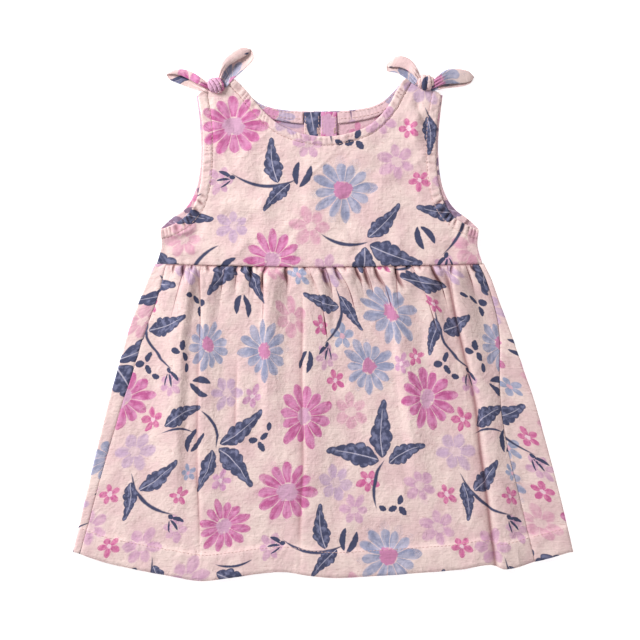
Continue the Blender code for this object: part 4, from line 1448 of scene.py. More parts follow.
def hem_layers(down):
    """0 on the skirt, 1 in the turned-up hem."""
    return soft_step((down - HEM_START + HEM_STEP) / (2 * HEM_STEP))


def fade(down, reach):
    """1 at the waist, falling to 0 at a reach."""
    return 1.0 - soft_step(down / reach)


def in_from_sides(across, share):
    """0 at the skirt's two sides, 1 from a share of the width in."""
    return soft_step(np.minimum(across, 1.0 - across) / share)


def fold_line(fold, down):
    """The share of the width where a fold's crest runs, and how strong the fold is: 1
    along it and 0 beyond its ends."""
    wander = 0.004 * uneven(down, 0.0, 0.21, int(fold.hem * 900))
    crest = fold.waist + (fold.hem - fold.waist) * down + wander
    return crest, soft_step((down - fold.start) / 0.12 + 0.35) * soft_step((fold.end - down) / 0.25)


def fold_height(across, down):
    """How far the long folds stand up."""
    total = np.zeros(np.broadcast(across, down).shape)
    for fold in FRONT_FOLDS:
        crest, strong = fold_line(fold, down)
        flank = np.where(across < crest, fold.left_flank, fold.right_flank)
        away = np.clip(np.abs(across - crest) / flank, 0.0, 1.0)
        crisp = (1.0 - away**2.6) ** 0.8
        rise = np.where(flank <= CRISP_FLANK, crisp, 1.0 - soft_step(away))
        total += fold.height * rise * strong
    return total


def fold_shade(across, down):
    """How much shade is painted at the foot of a long fold's steep side: a thin dark line,
    and a soft shade that reaches farther out than up the fold."""
    total = np.zeros(np.broadcast(across, down).shape)
    for fold in FRONT_FOLDS:
        if fold.left_flank > CRISP_FLANK:
            continue
        crest, strong = fold_line(fold, down)
        beyond = (crest - fold.left_flank - across) * SKIRT_WIDTH
        near = 0.6 * np.exp(-np.abs(beyond) / 1.2)
        wide = 0.7 * np.exp(-np.abs(beyond) / np.where(beyond > 0.0, 9.0, 2.0))
        total += (0.45 + 0.2 * fold.height) * (near + wide) * strong
    return total


def skirt_floor(across, down):
    """What the front skirt lies on."""
    middle = 1.0 - np.abs(2.0 * across - 1.0)
    lift = (TENT[0] + TENT[1] * middle) * fade(down, RISE_REACH)
    return GAP + CLOTH * (1.0 + hem_layers(down)) + lift * in_from_sides(across, 0.08)


def hem_groove(above):
    """1 on the hem's stitches and 0 beside them, from how far above the hem a place is."""
    return np.exp(-(((above + HEM_SEWN) / 0.9) ** 2))


def hem_stitching(across, down, seed):
    """The hem's topstitching sinks in and draws small slanting puckers."""
    x = skirt_place(across, down)[0]
    above = (HEM_START - down) * SKIRT_LENGTH
    faint = 0.16 * np.exp(-(((above - HEM_ECHO) / 1.6) ** 2))
    faint = faint * (0.6 + 0.6 * uneven(x, 0.0, 30.0, seed + 4))
    drawn = tucks(x + (0.9 * uneven(x, 0.0, 23.0, seed + 1)) * above, 7.5, seed)
    near = np.exp(-np.abs(above + HEM_SEWN) / 6.0) * (0.6 + 0.4 * uneven(x, 0.0, 17.0, seed + 3))
    return faint - 0.42 * hem_groove(above) + 0.30 * drawn * near


def into_seam(z, down):
    """How far the skirt's top edge turns down into the waist seam."""
    return np.minimum(2.4, 0.55 * z) * np.exp(-down * SKIRT_LENGTH / 1.5)


def side_puckers(y, apart):
    """The low ridges that a side seam's stitches draw, at places apart from it."""
    return 0.22 * puckers(y, 7.0, 73) * np.exp(-apart / 4.0)


def front_top(across, down):
    """The right side of the skirt's front, without its gathers."""
    x, y = skirt_place(across, down)
    base = skirt_floor(across, down) + CLOTH * (1.0 + hem_layers(down)) + fold_height(across, down)
    soft = 0.42 * uneven(x, y * 0.6, 21.0, 61) + 0.24 * uneven(x * 1.2, y, 9.5, 62)
    soft += wrinkles(x, y, 63)
    return base + soft * in_from_sides(across, 0.03) + hem_stitching(across, down, 65)


print("the hem starts", round((1 - HEM_START) * SKIRT_LENGTH, 1), "mm up")

# %% [markdown]
# The gathers' valleys divide each row of the front skirt. Between two valleys the cloth
# stands up in one rounded puff, which leans to one side. Close to the seam there are
# smaller puckers, one for each few stitches of the gathering thread.

# %% Rows, columns and gathers
COLUMN_STEP = 0.92
LEAST_GATHER = 12.0  # a gather has columns for at least this width
SKIRT_ROW_STEP = 2.75
# VALLEY_SHADE is painted shade in the gathers' valleys
VALLEY_SHADE = 0.32  # how dark a gather's valley is, as a hollow
FOLDED_OVER = 0.45  # how far a puff leans over the valley at its left, for its height


def skirt_rows():
    """Shares of the length, closer together at the waist and at the hem."""
    fine = np.linspace(0.0, 1.0, 2000)
    at_waist = np.exp(-fine / 0.06)
    at_hem = np.exp(-(((fine - HEM_START) / 0.03) ** 2))
    dense = 1.0 + 2.4 * at_waist + 1.2 * at_hem
    total = np.concatenate([[0.0], np.cumsum(dense[1:])])
    count = int(SKIRT_LENGTH / SKIRT_ROW_STEP * dense.mean())
    return np.interp(np.linspace(0.0, total[-1], count), total, fine)


def from_middle(steps):
    """How far each row's places are from its middle one, from the steps between them."""
    along = np.concatenate([np.zeros((len(steps), 1)), np.cumsum(steps, axis=1)], axis=1)
    middle = along.shape[1] // 2
    return along - along[:, middle:middle + 1]


def weighted_cut(x, z, wide):
    """How far along the flat cloth each column lies, so that the print is squeezed
    where the cloth stands steeply and true to size where it lies flat."""
    run = np.abs(np.diff(x, axis=1))
    steep = np.abs(np.diff(z, axis=1)) + 0.04
    spare = (wide[:, None] - run.sum(axis=1, keepdims=True)).clip(0.0, None)
    return from_middle(run + spare * steep / steep.sum(axis=1, keepdims=True))


def gather_profile(share, lean, softening_and_highlight):
    """A rounded puff from valley to valley: steep up to its crest at lean, then gentle.
    It grows softer as softening_and_highlight goes from 0 to 1."""
    phase = share ** (math.log(0.5) / math.log(lean))
    wave = np.sin(math.pi * np.clip(phase, 0.0, 1.0))
    return np.where(share < lean, wave ** (0.6 + 0.9 * softening_and_highlight), wave ** (1.05 + 0.6 * softening_and_highlight))


def valley_path(gather, down):
    """The share of the width where a gather's left valley runs."""
    t = down / gather.reach
    return gather.waist + (gather.hem - gather.waist) * down + gather.sway * t * np.exp(1.0 - t)


def gathered_columns(down, left, right):
    """The share across, how high and how far over the cloth stands, and the shade painted
    on it, in columns that follow the gathers."""
    valleys = [left] + [valley_path(gather, down) for gather in FRONT_GATHERS[1:]] + [right]
    after = FRONT_GATHERS[1:] + FRONT_GATHERS[:1]
    columns = []
    for gather, beyond, start, end in zip(FRONT_GATHERS, after, valleys, valleys[1:]):
        wide = (end - start) * SKIRT_WIDTH
        count = math.ceil(max(wide.max(), LEAST_GATHER) / COLUMN_STEP)
        share = np.linspace(0.0, 1.0, count, endpoint=False)[None, :] ** 1.25
        standing = fade(down, gather.reach)
        puff = gather.height * gather_profile(share, gather.lean, 1.0 - standing) * standing
        folded = FOLDED_OVER + 4.0 * max(0.5 - gather.lean, 0.0)
        from_left, from_right = share * wide, (1.0 - share) * wide
        # painted shade: dark at the foot of each valley, and softly before the next gather
        dark = np.exp(-from_left / 1.1) + 0.2 * np.exp(-from_left / 5.0)
        dark = dark * gather.height / 3.0 * standing
        dark += 0.1 * beyond.height * fade(down, beyond.reach) * np.exp(-from_right / 4.0)
        columns.append((start + (end - start) * share, puff,
                        puff * (1.0 - share) ** 1.5 * folded, VALLEY_SHADE * dark))
    columns.append((right, *[np.zeros_like(right)] * 3))
    return [np.concatenate(part, axis=1) for part in zip(*columns)]


print("the skirt has", len(skirt_rows()), "rows")

# %% The front skirt
SEAM_ROLL = 0.45  # how far the front's side edges roll down
SEAM_EDGE = 0.4  # the front's thickness there
# TUCK_SHADE is painted shade in the tucks' troughs
PUFF_STRENGTH, TUCK_STRENGTH, TUCK_SHADE = 1.15, 1.4, 0.22
HEM_THICKER = 0.9  # how much thicker the turned-up hem is
FRONT_WIDTHS = (356.0, 373.0)  # how wide the flat cloth is cut, at the waist and the hem
SKIRT_CUT = (8.0, -12.0)  # where on the print


def waist_puckers(x, y, below):
    """The height of the small puckers and tucks below the waist seam, and the shade painted in
    them.
    """
    reach = 11.0 + 8.0 * uneven(x, 0.0, 13.0, 74)
    strong = 0.8 + 0.5 * uneven(x, 0.0, 17.0, 75)
    small = 0.7 * strong * tucks(x - 0.22 * below, 7.8, 71) * np.exp(-below / reach)
    small += 0.6 * tucks(x + 0.18 * below, 14.6, 72) * np.exp(-below / (2.2 * reach))
    tucked = creases(x, y, FRONT_TUCKS)
    return small + TUCK_STRENGTH * tucked, -TUCK_SHADE * tucked


def front_skirt_grid():
    """x, y, z, painted shade and the share down of the front skirt."""
    down = skirt_rows()[:, None]
    seams = [seam_across(down, name) for name in ("left_seam", "right_seam")]
    across, puffs, over, shade = gathered_columns(down, *seams)
    down = np.broadcast_to(down, across.shape)
    below = down * SKIRT_LENGTH
    x, y = skirt_place(across, down)
    small, tuck_shade = waist_puckers(x, y, below)
    # painted shade in the waist seam and at the long folds' feet
    shade = np.maximum(shade + tuck_shade, SEAM_SHADE * np.exp(-((below / 1.3) ** 2)))
    shade = np.maximum(shade, FOLD_SHADE * fold_shade(across, down))
    out_of_seam = 0.35 + 0.65 * soft_step(below / 7.0)
    z = front_top(across, down) + PUFF_STRENGTH * puffs * out_of_seam + small
    z -= into_seam(z, down)
    for seam in seams:
        apart = np.abs(across - seam) * SKIRT_WIDTH
        z += side_puckers(y, apart) - SEAM_ROLL * np.exp(-apart / 1.2)
    x[:, 0] += GAP / 2
    x[:, -1] -= GAP / 2
    return x - over * out_of_seam, y, z, shade, down


x, y, z, shade, down = front_skirt_grid()
wide = np.interp(down[:, 0], (0.0, 1.0), FRONT_WIDTHS)
cut = (weighted_cut(x, z, wide) + SKIRT_CUT[0], y + SKIRT_CUT[1])
thick = SHELL * (1.0 + HEM_THICKER * hem_layers(down))
thick[:, [0, -1]] = SEAM_EDGE
front_skirt = sew_grid("front_skirt_cloth", x, y, z, True, cut, thick, BOTH_SIDES, shade)

# %% [markdown]
# The back skirt is one sheet that turns round both sides: over the top from each side
# seam, round the edge, and flat underneath, with its own gathers pressed flat.

# %% The back skirt
TURN_STEPS = 9
WRAP_COLUMNS = 20
UNDER_COLUMNS = 170
SEAM_UNDER = 1.0  # how far the back's edges run under the front's
EDGE_FLATNESS = 1.3  # how wide its turn round a side is, for its height
BACK_EASE = 1.04  # how much wider it is cut, for its gathers
UNDER_CUT = (96.0, 77.0)  # where on the print
# each side as a share across, its seam's column, and which way is in
TURNED_SIDES = ((0.0, "left_seam", 1.0), (1.0, "right_seam", -1.0))


def back_gather(across, down):
    """How far the back's gathers lift it from the table."""
    number = across * BACK_GATHER_COUNT + 0.25 * uneven(across, down, 0.09, 81)
    which = np.floor(number).astype(int) % len(BACK_GATHER_HEIGHTS)
    bump = np.array(BACK_GATHER_HEIGHTS)[which] * np.abs(np.sin(math.pi * number)) ** 0.8
    return bump * fade(down, BACK_GATHER_REACH) * in_from_sides(across, 0.08)


def turned_side(down, width, side, seam_name, inward):
    """x, y and z of the back skirt from a side seam, round the edge, to the table."""
    at_side = np.full_like(down, side)
    edge_x = skirt_place(at_side, down)[0]
    radius = front_top(at_side, down) / 2
    seam = seam_across(down, seam_name)
    start = seam + inward * SEAM_UNDER / width
    near = side + inward * radius * EDGE_FLATNESS / width
    share = np.linspace(0.0, 1.0, WRAP_COLUMNS)[None, :]
    across = start + (near - start) * share**1.4
    wide_down = np.broadcast_to(down, across.shape)
    x, y = skirt_place(across, wide_down)
    outside = inward * (seam - across) * width
    z = front_top(across, wide_down)
    z = z - (SEAM_ROLL + SEAM_EDGE + 0.1) * np.exp(-np.maximum(outside, 0.0) / 0.9)
    z = z - into_seam(z, down) + side_puckers(y, np.abs(outside))
    turn = np.linspace(0.0, math.pi, TURN_STEPS + 1)[None, 1:]
    top = z[:, -1:]
    turn_x = edge_x + inward * radius * EDGE_FLATNESS * (1.0 - np.sin(turn))
    turn_y = np.broadcast_to(y[:, -1:], turn_x.shape)
    turn_z = top / 2 + top / 2 * np.cos(turn)
    part = [np.concatenate(pair, axis=1) for pair in ((x, turn_x), (y, turn_y), (z, turn_z))]
    return part if inward > 0 else [p[:, ::-1] for p in part]


def back_skirt_grid():
    """x, y, z and the share down of the back skirt, from the left seam round to the
    right one."""
    down = skirt_rows()[:, None]
    left_x, right_x = (skirt_place(np.full_like(down, side), down)[0] for side in (0.0, 1.0))
    width = right_x - left_x
    left, right = (turned_side(down, width, *side) for side in TURNED_SIDES)
    low, high = left[0][:, -1:], right[0][:, :1]
    x = low + (high - low) * np.linspace(0.0, 1.0, UNDER_COLUMNS + 2)[None, 1:-1]
    across = (x - left_x) / width
    wide_down = np.broadcast_to(down, across.shape)
    y = skirt_place(across, wide_down)[1]
    soft = 0.25 * (1.0 + uneven(x, y * 0.6, 19.0, 83)) * in_from_sides(across, 0.04)
    z = back_gather(across, wide_down) + soft * (1.0 - hem_layers(wide_down))
    z = z + 0.03 + 0.30 * hem_groove((HEM_START - wide_down) * SKIRT_LENGTH)
    return [np.concatenate(three, axis=1) for three in zip(left, (x, y, z), right)] + [down]


x, y, z, down = back_skirt_grid()
around = from_middle(np.hypot(np.diff(x, axis=1), np.diff(z, axis=1)))
cut = (around * BACK_EASE + UNDER_CUT[0], y + UNDER_CUT[1])
back_skirt = sew_grid("back_skirt_cloth", x, y, z, False, cut,
                      SHELL * (1.0 + HEM_THICKER * hem_layers(down)), BOTH_SIDES)

# %% [markdown]
# ## The shoulder ties
#
# Each tie is a soft strip knotted on the shoulder edge. An end is rolled over on itself: a
# lower layer, a round fold at one side, and a flap that covers part of it and leaves an
# opening, where shade is painted on the lower layer. It is made as rows across, each the
# strip's outline seen from its tip.

# %% The ties' places
EndSection = namedtuple("EndSection", "out aside half_width half_height middle_z")
END_SECTIONS = [EndSection(*row) for row in (
    (0.0, 0.0, 4.2, 2.0, 5.9),
    (6.0, 1.2, 5.9, 3.3, 5.4),
    (13.0, 2.0, 7.0, 3.5, 3.6),
    (20.0, 1.8, 6.6, 3.0, 3.1),
    (26.5, 0.8, 4.4, 2.1, 2.3),
    (30.5, 0.0, 1.4, 0.9, 1.4),
)]
Tie = namedtuple("Tie", "name x y ends")
TieEnd = namedtuple("TieEnd", "name angle size width bend shift")
TIES = [
    Tie("left", -85.4, 182.0, [
        TieEnd("outer", 161.8, 1.10, 0.90, -1.05, 4.0),
        TieEnd("inner", 49.0, 1.09, 1.22, 1.2, -2.2),
    ]),
    Tie("right", 82.1, 184.3, [
        TieEnd("inner", 151.8, 0.90, 1.04, -2.4, 1.7),
        TieEnd("outer", 12.2, 1.04, 1.08, 1.15, -3.4),
    ]),
]
KNOT_REACH, KNOT_DEPTH, KNOT_RISE = 6.5, 5.8, 5.0  # half a knot's sizes
KNOT_Z = 5.3
KNOT_FULLNESS = 0.6  # how boxy a knot is: 1 would be an egg
# Which side an end's fold is on, how much of its width the flap covers at the knot and
# at the tip, how much fuller the tip is, and where on the print it is cut.
Roll = namedtuple("Roll", "side near far tip u v")
ROLLS = {
    "outer_left": Roll(-1.0, 0.60, 0.42, 0.4, 234.0, 144.0),
    "inner_left": Roll(1.0, 0.30, 0.58, 1.6, 200.0, 270.0),
    "inner_right": Roll(-1.0, 0.52, 0.72, 2.6, 98.0, 296.0),
    "outer_right": Roll(1.0, 0.74, 0.86, 0.6, 62.0, 298.0),
}
TIP_START = 0.82  # where an end starts to round off
print("tie ends:", ", ".join(ROLLS))

# %% Rolled tie ends
BOTTOM_COLUMNS, TURN_COLUMNS, FLAP_COLUMNS = 18, 10, 18
END_ROWS = 66
# UNDER_FLAP is painted shade on the lower layer beneath the flap's edge
UNDER_FLAP = 0.75  # how dark the lower layer is at the flap, as a hollow
ROOT_SHARE, ROOT_LENGTH, ROOT_SINK = 0.06, 3.6, 2.5  # how an end runs into its knot
LEAST_HALF = 0.7  # the least half width and half height
TIE_SHELL = 0.7  # thicker than the panels
TIE_ON_TABLE = 0.12  # the lowest that it lies


def rolled_row(half_width, half_height, cover, pucker):
    """Across, up and painted shade, from the lower layer's free edge round the fold to
    the flap's; the shade lies on the lower layer beneath the flap's edge."""
    w, h = half_width, half_height
    t = np.linspace(0.0, 1.0, BOTTOM_COLUMNS, endpoint=False)
    low_x = -w + 1.8 * w * t
    low_z = -0.92 * h + 0.9 * h * np.clip(-low_x / w, 0.0, 1.0) ** 2.2
    t = np.linspace(0.0, math.pi, TURN_COLUMNS, endpoint=False)
    turn_x = 0.8 * w + 0.2 * w * np.sin(t)
    turn_z = -0.92 * h * np.cos(t)
    t = np.linspace(0.0, 1.0, FLAP_COLUMNS)
    flap_end = w * (1.0 - 2.0 * cover)
    flap_x = 0.8 * w + (flap_end - 0.8 * w) * t
    flap_z = 0.92 * h * (1.0 - 0.45 * t**2.4) + 0.12 * h * np.sin(math.pi * t)
    x = np.concatenate([low_x, turn_x, flap_x])
    z = np.concatenate([low_z, turn_z, flap_z])
    shade = np.zeros(len(x))
    shade[:BOTTOM_COLUMNS] = UNDER_FLAP * soft_step((low_x - flap_end) / 1.8 + 0.9)
    return x, z + pucker * np.sin(x * 2.6 + 0.7), shade


def tie_row(tie, end, roll, share):
    """Places, flat cut and painted shade of one row across a tie end."""
    at = np.clip(share, 0.0, 1.0) * (len(END_SECTIONS) - 1)
    out, turned, wide, high, middle = curve([tuple(row) for row in END_SECTIONS], at)
    rooted = max(-share, 0.0) / ROOT_SHARE
    rounding = max(share - TIP_START, 0.0) / (1.0 - TIP_START)
    wide = wide * end.width + roll.tip * soft_step((share - 0.5) / 0.35)
    wide = max(wide * math.sqrt(max(1.0 - rounding**2, 0.0)), LEAST_HALF)
    cover = roll.near + (roll.far - roll.near) * soft_step(share * 1.1)
    pucker = 0.35 * (1.0 - soft_step(share / 0.45))
    x, z, shade = rolled_row(wide, max(high, LEAST_HALF), cover, pucker)
    z = z * (1.0 + 0.05 * math.sin(share * 9.0)) + middle - ROOT_SINK * rooted
    drift = 0.5 * math.sin(share * 7.0) * wide * (1.0 - 0.1 * rooted) / 7.0
    beside = end.shift + turned * end.bend + roll.side * x + drift
    along = KNOT_REACH + GAP + (out if share > 0.0 else -ROOT_LENGTH * rooted) * end.size
    angle = math.radians(end.angle)
    away = np.array([math.cos(angle), math.sin(angle)])
    aside = np.array([-away[1], away[0]])
    where = (tie.x, tie.y) + away * along + np.outer(beside, aside)
    around = arc_along(np.column_stack([x, z]))
    return (np.column_stack([where, np.maximum(z, TIE_ON_TABLE)]),
            np.column_stack([around - around.mean(), np.full(len(x), along)]), shade)


def add_tie_end(tie, end):
    """One end of a tie."""
    key = f"{end.name}_{tie.name}"
    roll = ROLLS[key]
    shares = np.linspace(-ROOT_SHARE, 1.0, END_ROWS)
    rows = [tie_row(tie, end, roll, share) for share in shares]
    places, cut, shade = (np.array(part) for part in zip(*rows))
    cut = (cut[..., 0] + roll.u, cut[..., 1] + roll.v)
    return sew_grid(f"tie_end_{key}_cloth", *np.moveaxis(places, -1, 0), roll.side < 0,
                    cut, TIE_SHELL, [PRINTED], shade)


tie_ends = {}
for tie in TIES:
    for end in tie.ends:
        tie_ends[f"tie_end_{end.name}_{tie.name}"] = add_tie_end(tie, end)

# %% [markdown]
# A knot is the strip wound round itself, so it is a lump with a few bands that lie side
# by side. It starts as a cube cut into many squares, which is blown up to the knot's size
# and then ridged: unlike a ball made of rings, it has no poles where the print would pinch.

# %% Knots
KNOT_CUTS = 26
BAND_DEPTH, KNOT_PINCH = 0.19, 0.08  # how deep its bands are, and how drawn in its ends
# How a knot's bands run, how far apart they are, how much they bend, and where on the
# print it is cut
Winding = namedtuple("Winding", "turn spacing bend u v")
WINDINGS = {
    "left": Winding(28.0, 3.3, 0.030, 276.0, 224.0),
    "right": Winding(6.0, 4.4, -0.012, 20.0, 128.0),
}


def add_knot(tie):
    """The knot on one shoulder."""
    winding = WINDINGS[tie.name]
    bpy.ops.object.select_all(action="DESELECT")
    bpy.ops.mesh.primitive_cube_add(size=2.0)
    knot = bpy.context.object
    knot.name = f"tie_knot_{tie.name}_cloth"
    bpy.ops.object.mode_set(mode="EDIT")
    bpy.ops.mesh.select_all(action="SELECT")
    bpy.ops.mesh.subdivide(number_cuts=KNOT_CUTS)
    bpy.ops.object.mode_set(mode="OBJECT")
    mesh = knot.data
    ball = np.empty(len(mesh.vertices) * 3)
    mesh.vertices.foreach_get("co", ball)
    ball = np.tan(ball.reshape(-1, 3) * math.pi / 4)
    ball /= np.linalg.norm(ball, axis=1, keepdims=True)
    x, y, z = ball.T
    c, s = math.cos(math.radians(winding.turn)), math.sin(math.radians(winding.turn))
    across = (x * c + y * s) * KNOT_REACH
    along = (y * c - x * s) * KNOT_DEPTH
    phase = (across + winding.bend * along**2) / winding.spacing
    ridge = np.abs(np.sin(math.pi * phase)) ** 0.6
    swell = 0.86 + BAND_DEPTH * ridge + 0.03 * uneven(along * 2.0, across, 1.9, 91)
    pinched = 1.0 - KNOT_PINCH * np.abs(across / KNOT_REACH) ** 3
    size = np.array([KNOT_REACH + 0.4, KNOT_DEPTH + 0.5, KNOT_RISE])
    full = np.maximum(np.hypot(y, z), 0.12) ** (KNOT_FULLNESS - 1.0)
    fuller = np.stack([np.ones_like(full), full, full], axis=1)
    places = ball * size * fuller * (swell * pinched)[:, None] + (tie.x, tie.y, KNOT_Z)
    mesh.vertices.foreach_set("co", (places * MM).ravel())
    level = np.linalg.norm(ball[:, :2], axis=1)
    spread = np.arccos(np.clip(z, -1.0, 1.0)) / np.maximum(level, 1e-6)
    cut = ball[:, :2] * spread[:, None] * (KNOT_REACH, KNOT_DEPTH)
    cut = cut + (winding.u, winding.v)
    print_on(mesh, cut)
    quads = np.array([face.vertices[:] for face in mesh.polygons])
    # painted shade in the hollows between the knot's bands
    note_hollows(mesh, hollows(places, quads, vertex_normals(places, quads)))
    mesh.materials.append(PRINTED)
    mesh.shade_smooth()
    print(knot.name, 2 * len(mesh.polygons), "triangles")
    return knot


knots = {tie.name: add_knot(tie) for tie in TIES}

# %% [markdown]
# ## Stitches and snaps
#
# Topstitching is a row of short threads that dive into the cloth at both ends. One stitch
# is modelled: a thin six-sided bar whose ends are drawn in and bent down. It is then
# copied along every sewn line, and each copy is laid on the cloth by casting a ray at it.

# %% One stitch
STITCH_LENGTH, STITCH_RADIUS, STITCH_PITCH = 2.3, 0.24, 3.0
STITCH_BEND, STITCH_LIFT = 0.28, 0.10  # how far its ends dive, and it stands off the cloth
STEEPEST = 1.5  # a stitch whose ends differ more in height is left out


def model_stitch():
    """The vertices and faces of one stitch along X, in millimetres."""
    bpy.ops.object.select_all(action="DESELECT")
    bpy.ops.mesh.primitive_cylinder_add(vertices=6, radius=STITCH_RADIUS, depth=STITCH_LENGTH,
                                        rotation=(0.0, math.pi / 2, 0.0))
    bpy.ops.object.transform_apply(rotation=True)
    stitch = bpy.context.object
    bpy.ops.object.mode_set(mode="EDIT")
    for share in (0.3, -0.3):
        bpy.ops.mesh.select_all(action="SELECT")
        bpy.ops.mesh.bisect(plane_co=(share * STITCH_LENGTH, 0.0, 0.0), plane_no=(1.0, 0.0, 0.0))
    bpy.ops.object.mode_set(mode="OBJECT")
    for vertex in stitch.data.vertices:
        vertex.select = abs(vertex.co.x) > 0.45 * STITCH_LENGTH
    for part in (stitch.data.edges, stitch.data.polygons):
        for item in part:
            item.select = all(stitch.data.vertices[v].select for v in item.vertices)
    bpy.ops.object.mode_set(mode="EDIT")
    bpy.ops.transform.resize(value=(1.0, 0.55, 0.55), center_override=(0.0, 0.0, 0.0))
    bpy.ops.transform.translate(value=(0.0, 0.0, -STITCH_BEND))
    bpy.ops.object.mode_set(mode="OBJECT")
    points = np.array([v.co[:] for v in stitch.data.vertices])
    faces = [list(p.vertices) for p in stitch.data.polygons]
    bpy.data.objects.remove(stitch, do_unlink=True)
    return points, faces


STITCH_POINTS, STITCH_FACES = model_stitch()
print("a stitch has", len(STITCH_FACES), "faces")


# %% Rows of stitches
def height_on(surface, x, y, up):
    """Where a ray from above, or from below, meets a surface, in millimetres."""
    start = Vector((x * MM, y * MM, 0.05 * up))
    hit = surface.ray_cast(start, Vector((0.0, 0.0, -up)))[0]
    return None if hit is None else hit.z / MM


def stitch_row(surface, line, up, seed, pitch=STITCH_PITCH):
    """Stitches along a line of x and y, on a surface's upper side or on its lower one."""
    dice = np.random.default_rng(seed)
    arc = arc_along(line)
    copies = []
    for at in np.arange(pitch, arc[-1] - pitch / 2, pitch):
        at = at + dice.uniform(-0.12, 0.12) * pitch
        ends = []
        for shift in (-0.45, 0.45):
            x, y = (np.interp(at + shift * STITCH_LENGTH, arc, line[:, k]) for k in (0, 1))
            y += dice.uniform(-0.10, 0.10)
            ends.append((x, y, height_on(surface, x, y, up)))
        if None in (ends[0][2], ends[1][2]) or abs(ends[0][2] - ends[1][2]) > STEEPEST:
            continue
        start, end = np.array(ends[0]), np.array(ends[1])
        run = (end - start) / np.linalg.norm(end - start)
        side = np.cross((0.0, 0.0, up), run)
        side /= np.linalg.norm(side)
        turned = STITCH_POINTS @ np.stack([run, side, np.cross(run, side)])
        copies.append(turned + (start + end) / 2 + (0.0, 0.0, STITCH_LIFT * up))
    return copies


def sew_rows(name, rows):
    """All the stitches of some rows as one piece."""
    copies = [copy for row in rows for copy in row]
    faces = [[v + k * len(STITCH_POINTS) for v in face]
             for k in range(len(copies)) for face in STITCH_FACES]
    mesh = bpy.data.meshes.new(name)
    mesh.from_pydata(np.concatenate(copies) * MM, [], faces)
    mesh.materials.append(THREAD)
    mesh.shade_smooth()
    piece = bpy.data.objects.new(name, mesh)
    bpy.context.collection.objects.link(piece)
    print(f"{name}: {len(copies)} stitches")
    return piece


def beside_edge(edge, side, width):
    """The line that lies width inside an edge."""
    x, y, _, _ = strip_grid(edge, side, (width, width), 1.0, 2)
    return np.stack([x[:, 1], y[:, 1]], axis=-1)


def across_skirt(down, start=0.0, end=1.0):
    """The line across the skirt at a share of its length."""
    across = np.linspace(start, end, 400)
    return np.stack(skirt_place(across, np.full_like(across, down)), axis=-1)


stitching = {}  # each node's stitches


def topstitch(node, piece, rows, name=None):
    """Sews rows on a piece, each given as its line, the side it is on and its seed."""
    surface = BVHTree.FromPolygons([v.co[:] for v in piece.data.vertices],
                                   [p.vertices[:] for p in piece.data.polygons])
    stitching[node] = sew_rows((name or node) + "_stitches",
                               [stitch_row(surface, *row) for row in rows])


print("a line across the skirt has", len(across_skirt(0.5)), "places")

# %% Stitches on the bodice and the hem
HEM_ROW = HEM_START + 0.005
rows = []
for seed, side in ((101, -1.0), (111, 1.0)):
    armhole, neck = edge_lines(FRONT_BODICE, side)
    rows += [(beside_edge(armhole, -side, FACING_WIDTH), 1.0, seed),
             (beside_edge(neck, side, NECK_WIDTH), 1.0, seed + 1)]
topstitch("front_bodice", front_bodice, rows)
for seed, (name, (side, centre_x, _)) in enumerate(BACK_HALVES.items(), start=121):
    armhole, neck = edge_lines(BACK_BODICE, side, centre_x)
    topstitch("back_bodice_" + name, back_halves[name], [
        (beside_edge(armhole, -side, ARMHOLE_FACING[0] - 1.0), -1.0, seed),
        (beside_edge(neck, side, NECK_FACING[1] - 1.0), -1.0, seed + 9)])
topstitch("front_skirt", front_skirt, [(across_skirt(HEM_ROW), 1.0, 131)], "front_hem")
left, right = (seam_across(np.array([HEM_ROW]), name)[0] for name in ("left_seam", "right_seam"))
topstitch("back_skirt", back_skirt, [
    (across_skirt(HEM_ROW, 0.004, left - 0.002), 1.0, 132),
    (across_skirt(HEM_ROW, right + 0.002, 0.996), 1.0, 133),
    (across_skirt(HEM_ROW, 0.008, 0.992), -1.0, 134)], "back_hem")

# %% Stitches on the facings and the placket
# a bar of close stitches that holds each placket strip down
TACK_Y, TACK_LENGTH, TACK_PITCH = 143.4, 4.6, 0.7

for seed, (name, (side, _, _)) in enumerate(BACK_HALVES.items(), start=141):
    armhole, neck = facing_lines(name)
    low, high = PLACKETS[name]
    long_rows = [(upright(x, PLACKET_FOOT_Y + 2, PLACKET_TOP_Y - 1), 1.0, seed + 7)
                 for x in (low + 1.2, high - 1.2)]
    tacks = [(upright(x, TACK_Y, TACK_Y + TACK_LENGTH), 1.0, seed + 8, TACK_PITCH)
             for x in (high - 2.4, high - 1.8)]
    strip_rows = {
        "neck_facing": [(beside_edge(neck, side, 1.4), 1.0, seed),
                        (beside_edge(neck, side, NECK_FACING[1] - 1.0), 1.0, seed + 3)],
        "armhole_facing": [(beside_edge(armhole, -side, ARMHOLE_FACING[0] - 1.0), 1.0, seed + 5)],
        "back_placket": long_rows + tacks,
    }
    for kind, rows in strip_rows.items():
        topstitch(f"{kind}_{name}", inside_pieces[f"{kind}_{name}"], rows)

# %% [markdown]
# The back closes with press snaps. Only their caps show, on the outside, where the part
# lies on the table: a shallow round cap with a rolled rim and a dished middle.

# %% Snap caps
SNAP_RADIUS, SNAP_DEPTH = 4.5, 0.95
SNAP_X = 2.2
SNAP_HEIGHTS = (150.0, 100.0, 50.0)
SNAP_STEPS = ((0.9, 0.0), (0.5, 0.22), (1.6, -0.08))  # how far in and up each ring goes
RIM_ROUND = 0.22


def select_lower_face(mesh):
    """Selects the face that looks down at the table."""
    for item in list(mesh.vertices) + list(mesh.edges):
        item.select = False
    for face in mesh.polygons:
        face.select = face.normal.z < -0.9


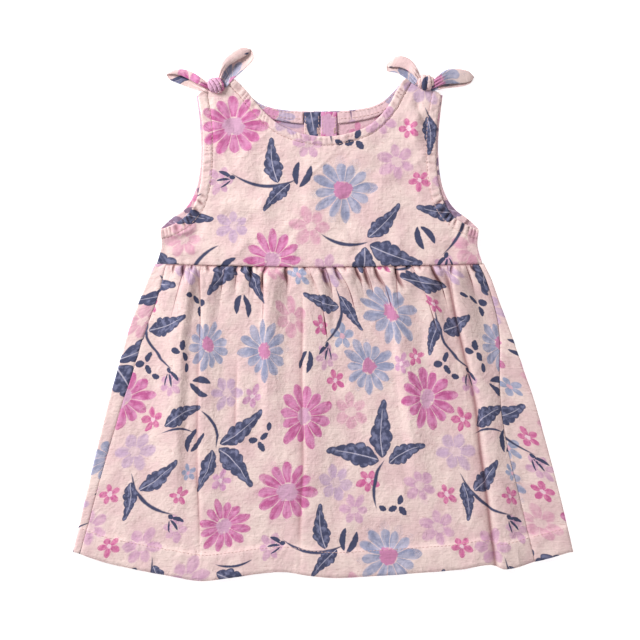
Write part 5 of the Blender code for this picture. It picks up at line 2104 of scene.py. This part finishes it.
def add_snap(number, y):
    """One snap cap, modelled at the size and place of its construction."""
    bpy.ops.object.select_all(action="DESELECT")
    bpy.ops.mesh.primitive_cylinder_add(
        vertices=40, radius=SNAP_RADIUS * MM, depth=SNAP_DEPTH * MM,
        location=(SNAP_X * MM, y * MM, SNAP_DEPTH * MM / 2))
    cap = bpy.context.object
    cap.name = f"back_snap_{number}_cap"
    bpy.ops.object.transform_apply(location=True)
    select_lower_face(cap.data)
    bpy.ops.object.mode_set(mode="EDIT")
    bpy.ops.mesh.select_mode(type="FACE")
    for inset, up in SNAP_STEPS:
        bpy.ops.mesh.inset(thickness=inset * MM)
        bpy.ops.transform.translate(value=(0.0, 0.0, up * MM))
    bpy.ops.object.mode_set(mode="OBJECT")
    rim = cap.modifiers.new("rolled rim", "BEVEL")
    rim.width = RIM_ROUND * MM
    rim.segments = 3
    rim.limit_method = "ANGLE"
    bpy.ops.object.modifier_apply(modifier=rim.name)
    bpy.ops.object.shade_smooth_by_angle(angle=math.radians(50))
    cap.data.materials.append(SNAP)
    print(cap.name, len(cap.data.polygons), "faces")
    return cap


snaps = {f"back_snap_{k}": add_snap(k, y) for k, y in enumerate(SNAP_HEIGHTS, start=1)}

# %% [markdown]
# ## Each piece on the body
#
# Every piece rides on the garment's one body and takes the place of its plain construction
# solid.


# %% Put the pieces on the body
def declare(piece, node):
    """Puts a piece on the body in its node's place."""
    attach(piece, "root")
    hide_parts(node)


def declare_sheet(piece, node):
    """The same for a sheet of cloth."""
    declare(piece, node)
    own_stitches = [stitching[node]] if node in stitching else []


for piece in stitching.values():
    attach(piece, "root")
declare_sheet(front_bodice, "front_bodice")
for name, piece in back_halves.items():
    declare_sheet(piece, "back_bodice_" + name)
for node, piece in inside_pieces.items():
    half = "back_bodice_" + node.rsplit("_", 1)[1] + "_cloth"
    declare_sheet(piece, node)
declare_sheet(front_skirt, "front_skirt")
declare_sheet(back_skirt, "back_skirt")
for node, piece in tie_ends.items():
    knot = knots[node.rsplit("_", 1)[1]]
    declare_sheet(piece, node)
for name, knot in knots.items():
    declare(knot, "tie_knot_" + name)
for node, cap in snaps.items():
    declare(cap, node)
